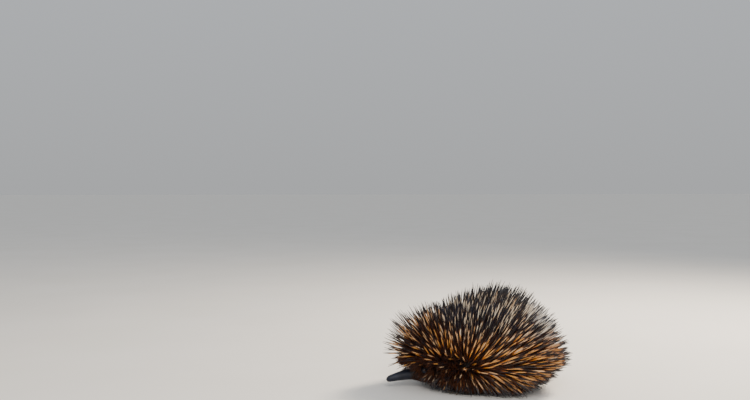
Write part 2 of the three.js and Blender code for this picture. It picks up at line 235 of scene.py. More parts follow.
@dataclass(frozen=True)
class Trunk:
    """Body under the spines: superellipse sections across the line of the back.

    Angle 0 is the ridge of the back, a quarter turn the left flank and a half turn the belly.
    """

    front: float = -172.0
    rear: float = 100.0
    top: float = 142.0
    half_width: float = 103.0
    belly: float = 8.0
    widest_height: float = 47.0
    brow_height: float = 64.0
    rump_height: float = 46.0
    top_apex: float = 4.0
    width_apex: float = 8.0
    squareness: float = 2.15
    mean_radius: float = 60.0

    def along(
        self, y: np.ndarray, apex: float, front: tuple[float, float], rear: tuple[float, float]
    ) -> np.ndarray:
        """Fullness along the trunk, one superellipse quadrant each way from an apex.

        Args:
            y: places along the trunk.
            apex: the place where it is fullest.
            front: power and root of the quadrant ahead of it.
            rear: power and root of the quadrant behind it.

        Returns:
            Shares from 0 to 1.
        """
        ahead = quadrant((apex - y) / (apex - self.front), *front)
        behind = quadrant((y - apex) / (self.rear - apex), *rear)
        return np.where(y < apex, ahead, behind)

    def section(self, y: np.ndarray) -> tuple[np.ndarray, ...]:
        """Sizes of the cross sections, each blended from an end's by the fullness along the trunk.

        Args:
            y: places along the trunk.

        Returns:
            Half width, top, height of the widest line and bottom.
        """
        pole = np.where(y < self.width_apex, self.brow_height, self.rump_height)
        wide = self.half_width * self.along(y, self.width_apex, (1.5, 0.72), (2.2, 0.48))
        top = mix(pole, self.top, self.along(y, self.top_apex, (1.8, 0.6), (2, 0.6)))
        middle = mix(pole, self.widest_height, self.along(y, self.width_apex, (2, 0.8), (3, 0.6)))
        bottom = mix(middle, self.belly, self.along(y, self.width_apex, (2.3, 0.95), (4, 0.5)))
        return wide, top, middle, bottom

    def surface(self, y: np.ndarray, angle: np.ndarray) -> np.ndarray:
        """Points of the trunk: x = w |sin|^(2/n), z from the widest line up or down by |cos|^(2/n).

        Args:
            y: places along the trunk.
            angle: angles round it.

        Returns:
            The points.
        """
        wide, top, middle, bottom = self.section(y)
        s, c = np.sin(angle), np.cos(angle)
        across = np.sign(s) * np.abs(s) ** (2 / self.squareness)
        up = np.abs(c) ** (2 / self.squareness)
        z = np.where(c > 0, mix(middle, top, up), mix(middle, bottom, up))
        return np.stack([wide * across, y + 0 * s, z], -1)

    def frame(self, y: np.ndarray, angle: np.ndarray) -> tuple[np.ndarray, ...]:
        """Points of the trunk and the directions there, by central differences.

        Args:
            y: places along the trunk.
            angle: angles round it.

        Returns:
            Points, outward normals, ways back along the trunk and ways down its side.
        """
        step, turn = 0.4, 0.01
        near = np.clip(y, self.front + 2 * step, self.rear - 2 * step)
        point = self.surface(y, angle)
        back = unit(self.surface(near + step, angle) - self.surface(near - step, angle))
        down = unit(self.surface(near, angle + turn) - self.surface(near, angle - turn))
        normal = unit(np.cross(back, down))
        centre = np.stack([0 * y, y, np.full_like(y, self.widest_height)], -1)
        normal *= np.sign(((point - centre) * normal).sum(-1, keepdims=True))
        return point, normal, back, down * np.where(angle < 0, -1, 1)[:, None]

    def inside(self, points: np.ndarray, margin: float = 0.0) -> np.ndarray:
        """True for points about the margin or more under the surface, by |x / w|^n + |z / h|^n < 1.

        Args:
            points: places to test.
            margin: depth under the surface.

        Returns:
            True or False for each.
        """
        x, y, z = points.T
        wide, top, middle, bottom = self.section(y)
        high = np.where(z > middle, top - middle, middle - bottom)
        across = np.abs(x / np.maximum(wide, 1e-3)) ** self.squareness
        up = np.abs((z - middle) / np.maximum(high, 1e-3)) ** self.squareness
        return across + up < (1 - margin / self.mean_radius) ** self.squareness

    def shape(self) -> Shape:
        """The trunk as a fine closed tube, its rows closer together towards both ends.

        Returns:
            The tube.
        """
        turn = np.linspace(0, np.pi, 150)
        y = mix(self.rear - 0.05, self.front + 0.05, 0.5 - 0.5 * np.cos(turn))
        angle = np.linspace(0, 2 * np.pi, 160, endpoint=False)
        grid_y, grid_angle = np.meshgrid(y, angle, indexing="ij")
        return tube(self.surface(grid_y.ravel(), grid_angle.ravel()).reshape(len(y), len(angle), 3))


@dataclass(frozen=True)
class Head:
    """Beak, face and skull as one smooth tube under the front of the mantle."""

    tip: float = -213.0
    beak_root: float = -158.0
    tip_height: float = 17.2
    root_height: float = 27.6
    eye: tuple[float, float, float] = (20.2, -142.0, 37.8)
    eye_aim: tuple[float, float, float] = (0.86, -0.42, 0.28)
    eye_radius: float = 4.3
    ear: tuple[float, float, float] = (41.0, -119.0, 42.0)
    ear_aim: tuple[float, float, float] = (0.8, -0.55, 0.12)
    ear_floor: float = -3.5
    skull: tuple[tuple[float, ...], ...] = (
        (-173, 10.7, 10.1, 25.4),
        (-161, 13, 12, 27.6),
        (-149, 19, 16.4, 31),
        (-136, 25, 20.3, 34.4),
        (-120, 31, 24.5, 37.2),
        (-102, 35, 27.5, 39.2),
        (-84, 34, 27, 39.6),
        (-62, 24, 18, 42),
    )

    def section(self, y: np.ndarray) -> tuple[np.ndarray, ...]:
        """Sizes of the cross sections, the beak's taper blended into the skull's curve.

        Args:
            y: places along the head.

        Returns:
            Half width, half height and height of the centre.
        """
        s = np.clip((self.beak_root - y) / (self.beak_root - self.tip), 0, 1)
        half = mix(11.6, 5.4, s**1.5) * quadrant((s - 0.86) / 0.14, 2, 0.5)
        centre = mix(self.root_height, self.tip_height, s) + 0.9 * np.sin(s * np.pi)
        wide, high, middle = curve(np.array(self.skull, float), y).T
        share = smooth(-184, -164, y)
        return mix(half, wide, share), mix(0.94 * half, high, share), mix(centre, middle, share)

    def surface(self, y: np.ndarray, angle: np.ndarray) -> np.ndarray:
        """Points of the head: ellipses across its line, angle 0 on top, a quarter turn on the left."""
        wide, high, middle = self.section(y)
        return np.stack([wide * np.sin(angle), y + 0 * angle, middle + high * np.cos(angle)], -1)

    def frame(self, y: np.ndarray, angle: np.ndarray) -> tuple[np.ndarray, ...]:
        """Points of the head and the directions there, by central differences.

        Args:
            y: places along the head.
            angle: angles round it.

        Returns:
            Points, outward normals, ways back along the head and ways down its side.
        """
        step, turn = 0.4, 0.01
        near = np.clip(y, self.tip + 1.5, self.skull[-1][0] - 1)
        point = self.surface(y, angle)
        back = unit(self.surface(near + step, angle) - self.surface(near - step, angle))
        down = unit(self.surface(near, angle + turn) - self.surface(near, angle - turn))
        normal = unit(np.cross(down, back))
        return point, normal, back, down * np.where(angle < 0, -1, 1)[:, None]

    def features(self, point: np.ndarray) -> np.ndarray:
        """Nostrils, mouth line, sockets and folds, as moves along the normal.

        Pits and grooves are Gaussian in the distance from their line: depth * exp(-(d / width)^2).

        Args:
            point: points of the smooth head.

        Returns:
            How far each point moves out.
        """
        x, y, z = point.T
        side = np.abs(x)
        nose = self.tip + 6.0
        across = (side - 2.3) / 0.95
        lengthways = (y - nose - 0.6 * (side - 2.3)) / 2.3
        above = smooth(self.tip_height, self.tip_height + 3, z)
        nostril = -1.3 * np.exp(-(across**2) - lengthways**2) * above
        rim = 0.35 * np.exp(-((np.hypot(across, lengthways) - 1.7) ** 2) / 0.25) * above
        mouth_height = self.tip_height - 2.2 + 0.1 * (y - self.tip)
        mouth = -0.75 * np.exp(-(((z - mouth_height) / 0.5) ** 2))
        mouth *= smooth(self.tip + 17, self.tip + 11, y)
        chin = 0.3 * np.exp(-(((z - mouth_height + 1.3) / 0.9) ** 2))
        chin *= smooth(self.tip + 15, self.tip + 6, y)
        depth, off = from_axis(point, self.eye, self.eye_aim)
        radial = np.sqrt(off[:, 0] ** 2 + off[:, 1] ** 2 + (1.25 * off[:, 2]) ** 2)
        socket = -1.9 * np.exp(-((radial / 6.5) ** 2)) * (depth > -3)
        brow = 0.9 * np.exp(-(((radial - 8.2) / 2.2) ** 2)) * smooth(-1, 3, off[:, 2]) * (depth > -6)
        cheek = 0.5 * np.exp(-(((radial - 8.6) / 2.0) ** 2)) * smooth(1, -3, off[:, 2]) * (depth > -6)
        from_tip = y - self.tip
        folds = 0.12 * np.sin(from_tip * 2.6 + 1.3 * np.sin(3 * np.arctan2(x, z - 20)))
        folds *= smooth(24, 34, from_tip)
        folds *= smooth(56, 44, from_tip)
        return nostril + rim + mouth + chin + socket + brow + cheek + folds

    def shape(self) -> Shape:
        """The head as a fine closed tube, closer set along the beak and the face.

        Returns:
            The tube.
        """
        beak = self.tip + 0.02 + 20 * (1 - np.cos(np.linspace(0, np.pi / 2, 60)))
        y = np.concatenate([beak, np.linspace(beak[-1] + 0.55, -120, 120), np.linspace(-118, -62.2, 26)])
        angle = np.linspace(0, 2 * np.pi, 144, endpoint=False)
        grid_y, grid_angle = (g.ravel() for g in np.meshgrid(y, angle, indexing="ij"))
        point, normal, _, _ = self.frame(grid_y, grid_angle)
        point = point + normal * self.features(point)[:, None]
        return tube(point.reshape(len(y), len(angle), 3))

    def lid(self, side: float) -> Shape:
        """Lids: a collar that hugs the eyeball, its margin rolled, sloping away in folds to the face.

        The profile of reach from the eye's axis and height along it is carried round an almond: wider
        than high, drawn out at the corners, its upper half thicker and lower over the ball.

        Args:
            side: 1 for the left, -1 for the right.

        Returns:
            Closed collar as a grid that wraps both ways.
        """
        profile = np.array(
            [
                (3.3, 2.2),
                (3.25, 2.85),
                (3.4, 3.2),
                (3.75, 3.32),
                (4.2, 3.12),
                (4.6, 2.7),
                (5.0, 2.62),
                (5.5, 2.2),
                (6.1, 1.55),
                (6.9, 0.75),
                (7.8, -0.1),
                (7.9, -1.4),
                (5.2, -2.2),
                (3.7, 0.2),
            ]
        )
        around = 72
        turn = np.linspace(0, 2 * np.pi, around, endpoint=False)
        reach, height = profile[:, 0], profile[:, 1]
        upper = np.maximum(0, np.sin(turn))[:, None]
        margin = smooth(5.2, 3.4, reach)[None, :]
        corner = 0.7 * np.cos(turn)[:, None] ** 8 * margin
        wide = (reach[None, :] + corner) * np.cos(turn)[:, None]
        high = (reach[None, :] - 0.75 * margin - 0.35 * upper * margin) * np.sin(turn)[:, None]
        out = height[None, :] + (0.45 * upper + 0.15) * margin - 0.5 * corner
        aim, forward, upward = axes(self.eye_aim)
        points = np.array(self.eye) + out[..., None] * aim
        points = points + wide[..., None] * forward + high[..., None] * upward
        points = points * np.array([side, 1, 1])
        grid = np.arange(points.shape[0] * points.shape[1]).reshape(points.shape[:2])
        ahead, beside = np.roll(grid, -1, 0), np.roll(grid, -1, 1)
        quads = np.stack([grid, ahead, np.roll(ahead, -1, 1), beside], -1).reshape(-1, 4)
        return outward(Shape(points.reshape(-1, 3), quads))

    def eyeball(self, side: float) -> Shape:
        """Eyeball: a sphere whose front bulges a little as the cornea, by 7% exp(-(t / 0.55)^2).

        Args:
            side: 1 for the left, -1 for the right.

        Returns:
            Closed ball that carries how far each point faces along the aim.
        """
        turn = np.linspace(0.02, np.pi - 0.02, 40)
        angle = np.linspace(0, 2 * np.pi, 48, endpoint=False)
        t, a = np.meshgrid(turn, angle, indexing="ij")
        radius = self.eye_radius * (1 + 0.07 * np.exp(-((t / 0.55) ** 2)))
        aim, forward, upward = axes(self.eye_aim)
        local = (
            (radius * np.cos(t))[..., None] * aim
            + (radius * np.sin(t) * np.cos(a))[..., None] * forward
            + (radius * np.sin(t) * np.sin(a))[..., None] * upward
        )
        mirror = np.array([side, 1, 1])
        shape = tube((np.array(self.eye) + local) * mirror)
        shape.values["facing"] = unit(shape.points - np.array(self.eye) * mirror) @ (aim * mirror)
        return shape

    def hollowed(self, points: np.ndarray) -> np.ndarray:
        """Points pushed in round each ear, so that its cup stands open in a hollow of the cheek.

        Within reach of the ear's axis a point's depth along the axis is held to a floor, which is level
        to the cup's wall and then climbs to the surface as a cone with rounded ends.

        Args:
            points: places on the body.

        Returns:
            The places after the push.
        """
        level, rim, surface, farthest, upright = 5.5, 17.0, 16.0, 24.0, 0.72
        depth, off = from_axis(points, self.ear, self.ear_aim)
        off = np.sqrt(off[:, 0] ** 2 + off[:, 1] ** 2 + (upright * off[:, 2]) ** 2)
        floor = mix(self.ear_floor, surface, smooth(level, rim, off))
        push = np.where((depth > floor) & (depth < farthest) & (off < rim), floor - depth, 0)
        side = np.where(points[:, :1] < 0, -1.0, 1.0) * [1, 0, 0] + [0, 1, 1]
        return points + push[:, None] * unit(np.array(self.ear_aim)) * side

    def ear_cup(self, side: float) -> Shape:
        """Ear: an upright cup of gristle, its wall carried from the base over the rim and back inside.

        Args:
            side: 1 for the left, -1 for the right.

        Returns:
            Closed cup, notched below.
        """
        lip = np.linspace(0, np.pi, 9)
        wall = 0.9
        outer_r = np.concatenate([np.linspace(0.5, 5.6, 10), 5.6 + 0.6 * np.sin(np.linspace(0, 1.2, 6))])
        outer_h = np.concatenate([np.linspace(-6.0, -1.5, 10), np.linspace(-1.2, 4.4, 6)])
        rim_r = outer_r[-1] - wall * (1 - np.cos(lip)) / 2
        rim_h = outer_h[-1] + wall * np.sin(lip)
        inner_r = np.linspace(outer_r[-1] - wall, 0.4, 12)
        inner_h = outer_h[-1] - 6.5 * (1 - (inner_r / inner_r[0]) ** 2)
        r = np.concatenate([outer_r, rim_r[1:-1], inner_r])
        h = np.concatenate([outer_h, rim_h[1:-1], inner_h])
        angle = np.linspace(0, 2 * np.pi, 40, endpoint=False)
        rr, a = np.meshgrid(r, angle, indexing="ij")
        hh = np.broadcast_to(h[:, None], rr.shape)
        notch = 1 - 0.5 * np.exp(-(((a - 1.5 * np.pi) / 0.5) ** 2)) * smooth(-1, 4, hh)
        aim, forward, upward = axes(self.ear_aim)
        tall = rr * np.sin(a) * 1.65 * notch
        broad = rr * np.cos(a) * 0.85
        place = np.array(self.ear) - 4.0 * aim
        points = place + hh[..., None] * aim + broad[..., None] * forward + tall[..., None] * upward
        return tube(points * np.array([side, 1, 1]))


@dataclass(frozen=True)
class Tail:
    """Short stub under the rump."""

    def section(self, t: np.ndarray) -> tuple[np.ndarray, ...]:
        """Radius, y and height of the centre from root (0) to tip (1)."""
        half = mix(19, 7, t) * quadrant((t - 0.8) / 0.2, 2, 0.5)
        return half, mix(72, 114, t), mix(33, 15, smooth(0, 1, t))

    def surface(self, t: np.ndarray, angle: np.ndarray) -> np.ndarray:
        """Points of the tail: flattened circles along a falling line."""
        half, y, centre = self.section(t)
        return np.stack([half * np.sin(angle), y + 0 * angle, centre + 0.8 * half * np.cos(angle)], -1)

    def shape(self) -> Shape:
        """The tail as a closed tube.

        Returns:
            The tube.
        """
        t = np.sin(np.linspace(0, np.pi / 2, 30)) * 0.998
        angle = np.linspace(0, 2 * np.pi, 36, endpoint=False)
        tt, aa = (g.ravel() for g in np.meshgrid(t, angle, indexing="ij"))
        return tube(self.surface(tt, aa).reshape(len(t), len(angle), 3))


@dataclass(frozen=True)
class Limb:
    """Stout leg, flat-soled foot, toes and their claws.

    claws holds the length and half width of each, and hook how far the second bends back.
    """

    name: str
    foot: tuple[float, float]
    hip: tuple[float, float, float]
    aim: float
    spread: float
    palm: tuple[float, float]
    leg_radius: tuple[float, float]
    claws: tuple[tuple[float, float], ...]
    claw_drop: float
    hook: float
    toe_height: float = 5.2
    toe_radius: float = 4.9

    def bearing(self, toe: int) -> float:
        """Bearing of a toe about the vertical, from +X, in radians."""
        return math.radians(self.aim + (toe - 2) * self.spread)

    def toe_end(self, side: float, toe: int) -> np.ndarray:
        """Middle of a toe's end, where its claw starts.

        Args:
            side: 1 for the left, -1 for the right.
            toe: number of the toe, from 0.

        Returns:
            The point.
        """
        reach = self.palm[0] + 5
        turn = self.bearing(toe)
        x = side * (self.foot[0] + reach * math.cos(turn))
        return np.array([x, self.foot[1] + reach * math.sin(turn), self.toe_height])

    def heading(self, side: float, toe: int) -> np.ndarray:
        """Level direction in which a toe points."""
        turn = self.bearing(toe)
        return np.array([side * math.cos(turn), math.sin(turn), 0.0])

    def toe(self, side: float, toe: int) -> Shape:
        """Toe: a rounded finger, radius falling off as a superellipse at its end.

        Args:
            side: 1 for the left, -1 for the right.
            toe: number of the toe, from 0.

        Returns:
            Closed shape.
        """
        end, heading = self.toe_end(side, toe), self.heading(side, toe)
        t = np.linspace(0.02, 0.998, 22)
        radius = self.toe_radius * (1.12 - 0.16 * t) * quadrant((t - 0.72) / 0.28, 2.2, 0.5)
        along = mix(-self.palm[0] * 0.95, 0.6, t)
        return swept(end + along[:, None] * heading, radius, 20, flat=0.95)

    def flesh(self, side: float) -> list[Shape]:
        """Palm, leg and toes as closed overlapping shapes.

        Args:
            side: 1 for the left, -1 for the right.

        Returns:
            The shapes.
        """
        foot = np.array([side * self.foot[0], self.foot[1], 4.0])
        turn = np.linspace(0.03, np.pi - 0.03, 30)
        angle = np.linspace(0, 2 * np.pi, 40, endpoint=False)
        t, a = np.meshgrid(turn, angle, indexing="ij")
        wide, high = self.palm
        palm = foot + np.stack(
            [wide * np.sin(t) * np.cos(a), wide * np.sin(t) * np.sin(a), high * np.cos(t)], -1
        )
        hip = np.array([side * self.hip[0], self.hip[1], self.hip[2]])
        share = np.linspace(0, 1, 24)
        radius = mix(*self.leg_radius, smooth(0, 1, share))
        leg = swept(hip + share[:, None] * (foot + [0, 0, 2] - hip), radius, 32)
        return [tube(palm), leg] + [self.toe(side, i) for i in range(len(self.claws))]

    def claw(self, side: float, toe: int) -> Shape:
        """Claw: a drooping, tapering horn, ridged on its back and hollowed beneath.

        The centre line falls by drop * t^2 and bends sideways by hook * t^2, and the half width tapers
        as (1 - 0.94 t)^0.6.

        Args:
            side: 1 for the left, -1 for the right.
            toe: number of the toe, from 0.

        Returns:
            Closed shape that carries the share of its length.
        """
        length, half = self.claws[toe]
        heading = self.heading(side, toe)
        sideways = np.cross([0, 0, 1], heading)
        t = np.linspace(0, 0.995, 26)
        taper = (1 - 0.94 * t) ** 0.6
        bend = side * self.hook * t**2 if toe == 1 else 0 * t
        sunk, around = 1.2, 20
        line = self.toe_end(side, toe) + [0, 0, -0.2] - sunk * heading
        line = line + (length + sunk) * t[:, None] * heading + bend[:, None] * sideways
        line[:, 2] -= self.claw_drop * t**2
        angle = np.linspace(0, 2 * np.pi, around, endpoint=False)
        tt, a = np.meshgrid(taper, angle, indexing="ij")
        across = half * tt * np.sin(a)
        up = 0.62 * half * tt * np.where(np.cos(a) > 0, np.cos(a), 0.55 * np.cos(a))
        rings = line[:, None, :] + across[..., None] * sideways + up[..., None] * np.array([0, 0, 1.0])
        shape = tube(rings)
        shape.points[:, 2] = np.maximum(shape.points[:, 2], 0.2)
        shape.values["along"] = np.concatenate([np.repeat(t, around), [0, 1]])
        return shape


FRONT_LIMB = Limb(
    name="front",
    foot=(57, -68),
    hip=(54, -50, 43),
    aim=-92,
    spread=19,
    palm=(17, 15),
    leg_radius=(22, 14),
    claws=((15, 3.0), (19, 3.5), (21, 3.6), (19, 3.4), (14, 3.0)),
    claw_drop=2.5,
    hook=0,
)
HIND_LIMB = Limb(
    name="hind",
    foot=(52, 17),
    hip=(55, 8, 44),
    aim=86,
    spread=17,
    palm=(19, 15),
    leg_radius=(26, 15),
    claws=((9, 2.8), (25, 3.2), (19, 3.0), (12, 2.6), (10, 2.4)),
    claw_drop=3.5,
    hook=9,
)


def swept(line: np.ndarray, radius: np.ndarray, around: int, flat: float = 1.0) -> Shape:
    """Tube of circles carried along a nearly straight line.

    Args:
        line: centres, array (rows, 3).
        radius: radius at each centre.
        around: corners of each circle.
        flat: height of the circles over their width.

    Returns:
        Closed tube.
    """
    way = unit(line[-1] - line[0])
    across = unit(np.cross(way, [0, 0, 1.0]))
    up = np.cross(across, way) * flat
    angle = np.linspace(0, 2 * np.pi, around, endpoint=False)
    spokes = np.cos(angle)[:, None] * across + np.sin(angle)[:, None] * up
    return tube(line[:, None, :] + radius[:, None, None] * spokes)


@dataclass(frozen=True)
class Taper:
    """How strands are drawn.

    steps are the shares of the length that carry a ring, profile is each ring's radius as a share of the
    strand's, and sides are the corners of a ring.
    """

    steps: tuple[float, ...]
    profile: tuple[float, ...]
    sides: int


SPINE_TAPER = Taper((-0.1, 0.02, 0.3, 0.58, 0.75, 0.88, 0.96), (0.75, 0.9, 1.0, 0.98, 0.8, 0.48, 0.2), 6)
BRISTLE_TAPER = Taper((-0.08, 0.05, 0.4, 0.8), (0.8, 1.0, 0.9, 0.5), 4)
LONG_HAIR_TAPER = Taper((-0.03, 0.34, 0.7), (0.8, 1.0, 0.7), 3)
SHORT_HAIR_TAPER = Taper((-0.05, 0.5), (0.9, 0.9), 3)


@dataclass
class Strands:
    """Many tapering strands, one row each: spines or hairs.

    sway is the way a strand bends, bend how far its tip moves that way, place its root's place on the
    skin unrolled, and marks the numbers that colour it.
    """

    root: np.ndarray
    way: np.ndarray
    length: np.ndarray
    radius: np.ndarray
    sway: np.ndarray
    bend: np.ndarray
    place: np.ndarray
    marks: dict[str, np.ndarray]

    def chosen(self, mask: np.ndarray) -> Strands:
        """The strands where mask is true."""
        rows = [getattr(self, name)[mask] for name in list(self.__dataclass_fields__)[:-1]]
        return Strands(*rows, {name: values[mask] for name, values in self.marks.items()})

    def at(self, share: float) -> np.ndarray:
        """Points of the strands at a share of their length."""
        straight = self.root + self.way * (self.length * share)[:, None]
        return straight + self.sway * (self.bend * share**2)[:, None]

    def shape(self, taper: Taper, patch: float = 0.003) -> Shape:
        """All strands as one shape.

        A strand's point at t is root + way * length * t + sway * bend * t^2, with a ring of radius
        profile(t) round it. It closes flat under the skin and in a point at the tip.

        Args:
            taper: its rings.
            patch: size of a strand's place in the bake map.

        Returns:
            Shape with the share of the length and the marks as values.
        """
        steps, profile, sides = np.array(taper.steps), np.array(taper.profile), taper.sides
        count, rings = len(self.root), len(steps)
        helper = np.where(np.abs(self.way[:, 2:]) > 0.9, [[1.0, 0, 0]], [[0, 0, 1.0]])
        one = unit(np.cross(self.way, helper))
        two = np.cross(self.way, one)
        angle = np.linspace(0, 2 * np.pi, sides, endpoint=False)
        # The tone also turns a strand about its own line, so that neighbours show different sides.
        spin = angle[None, :] + (self.marks["tone"] * WHOLE_TURN)[:, None]
        spoke = np.cos(spin)[..., None] * one[:, None] + np.sin(spin)[..., None] * two[:, None]
        every = np.append(steps, 1.0)
        line = self.root[:, None] + self.way[:, None] * (self.length[:, None] * every)[..., None]
        line += (self.sway * self.bend[:, None])[:, None] * (np.maximum(every, 0) ** 2)[:, None]
        wide = (self.radius[:, None] * profile)[..., None, None]
        ring = line[:, :rings, None] + wide * spoke[:, None]
        points = np.concatenate([ring.reshape(count, -1, 3), line[:, rings:]], 1)
        size = rings * sides + 1
        grid = np.arange(rings * sides).reshape(rings, sides)
        after = np.roll(grid, -1, 1)
        quads = np.stack([grid[:-1], after[:-1], after[1:], grid[1:]], -1).reshape(-1, 4)
        rim = np.arange(1, sides - 1)
        foot = np.stack([0 * rim, rim + 1, rim], -1)
        tip = np.stack([np.full(sides, size - 1), grid[-1], after[-1]], -1)
        tris = np.concatenate([foot, tip])
        start = (np.arange(count) * size)[:, None, None]
        along = np.append(np.repeat(steps, sides), 1.0)
        turn = np.append(np.tile(angle / (2 * np.pi), rings), 0.5)
        local = np.stack([turn, np.clip(along, 0, 1)], -1) * patch
        values = {name: np.repeat(mark, size) for name, mark in self.marks.items()}
        values["along"] = np.tile(np.clip(along, 0, 1), count)
        return Shape(
            points.reshape(-1, 3),
            (quads + start).reshape(-1, 4),
            (tris + start).reshape(-1, 3),
            values,
            (self.place[:, None] + local).reshape(-1, 2),
        )


def scatter(
    surface: Callable[[np.ndarray, np.ndarray], np.ndarray],
    span: tuple[float, float],
    weight: Callable[[np.ndarray], np.ndarray],
    count: int,
    rng: np.random.Generator,
) -> tuple[np.ndarray, np.ndarray]:
    """Even places on a tube-like surface, by a plastic-number sequence through its weighted area.

    Args:
        surface: points of the surface from the place along it and the angle round it.
        span: first and last place along it.
        weight: how closely places are set, from the points.
        count: number of places.
        rng: random numbers for a small jitter.

    Returns:
        Places along the surface and angles round it.
    """
    rows, columns = 260, 240
    plastic = 1.32471795724
    jitter_along, jitter_round, last = 0.12, 0.25, 0.99999
    s = np.linspace(*span, rows + 1)
    a = np.linspace(-np.pi, np.pi, columns + 1)
    corner_s, corner_a = np.meshgrid(s, a, indexing="ij")
    corner = surface(corner_s.ravel(), corner_a.ravel()).reshape(rows + 1, columns + 1, 3)
    one = corner[1:, 1:] - corner[:-1, :-1]
    two = corner[1:, :-1] - corner[:-1, 1:]
    area = np.linalg.norm(np.cross(one, two), axis=-1) / 2
    middle = (corner[1:, 1:] + corner[:-1, :-1]) / 2
    cell = area * weight(middle.reshape(-1, 3)).reshape(rows, columns)
    row_sum = cell.sum(1)
    row_edge = np.concatenate([[0], np.cumsum(row_sum) / row_sum.sum()])
    index = np.arange(1, count + 1)
    u = (0.5 + index / plastic) % 1
    v = (0.5 + index / plastic**2) % 1
    u = np.clip(u + rng.normal(0, jitter_along, count) / math.sqrt(count), 0, last)
    v = (v + rng.normal(0, jitter_round, count) / math.sqrt(count)) % 1
    row = np.clip(np.searchsorted(row_edge, u, side="right") - 1, 0, rows - 1)
    share = (u - row_edge[row]) / np.maximum(row_edge[row + 1] - row_edge[row], 1e-12)
    places = s[row] + (s[1] - s[0]) * share
    inner = np.cumsum(cell, 1) / np.maximum(row_sum[:, None], 1e-12)
    flat = (np.arange(rows)[:, None] + inner).ravel()
    column = np.clip(np.searchsorted(flat, row + v) - row * columns, 0, columns - 1)
    return places, a[column] + (a[1] - a[0]) * rng.random(count)


class Markings:
    """Where the coat is warm, pale with painted glare, or dark in part by painted shade, the same for
    skin, spines and hair.
    """

    @staticmethod
    def warmth(points: np.ndarray) -> np.ndarray:
        """Amber and rust: 0 on the upper back, 1 on the face, the hood, the lower flank and the rump.

        Args:
            points: places on the animal.

        Returns:
            Shares from 0 to 1, a fifth less over the brow.
        """
        y, z = points[:, 1], points[:, 2]
        hood = smooth(-90, -140, y)
        below_brow = np.maximum(smooth(-150, -70, y), smooth(66, 50, z))
        return smooth(128, 66, z - 30 * hood) * mix(0.8, 1, below_brow)

    @staticmethod
    def painted_glare(points: np.ndarray) -> np.ndarray:
        """Painted glare: the spines over the top of the rump, painted near white as a highlight of the
        light from behind.
        """
        y, z = points[:, 1], points[:, 2]
        return smooth(10, 70, y) * smooth(70, 112, z)

    @staticmethod
    def gloom(points: np.ndarray) -> np.ndarray:
        """Share of spines without a pale shaft: more on back, hood and fringe and at the swirls, and on
        the cheeks as painted shade.

        Args:
            points: places on the animal.

        Returns:
            Shares from 0.3 up.
        """
        y, z = points[:, 1], points[:, 2]
        upper = smooth(84, 120, z) * smooth(60, 10, y)
        hood = smooth(-105, -155, y)
        fringe = smooth(40, 26, z) * smooth(20, -60, y)
        swirl_y, swirl_z = -96, 48
        swirl = smooth(34, 8, np.hypot(y - swirl_y, 1.8 * (z - swirl_z)))
        cheek = Markings.cheek(points)
        return 0.3 + 0.16 * upper + 0.27 * hood + 0.16 * fringe + 0.3 * cheek + 0.3 * swirl

    @staticmethod
    def painted_shade(points: np.ndarray) -> np.ndarray:
        """Painted shade: how far a pale shaft is darkened, most on the cheeks, some on the fringe ahead
        of the rump, as if the low front lay in shade.
        """
        y, z = points[:, 1], points[:, 2]
        return np.maximum(0.55 * Markings.cheek(points), 0.3 * smooth(52, 34, z) * smooth(50, -30, y))

    @staticmethod
    def cheek(points: np.ndarray) -> np.ndarray:
        """Lowest spines ahead of the front legs, 1, which carry painted shade: less amber, fewer pale
        shafts and darkened ones.
        """
        return smooth(-60, -115, points[:, 1]) * smooth(60, 44, points[:, 2])


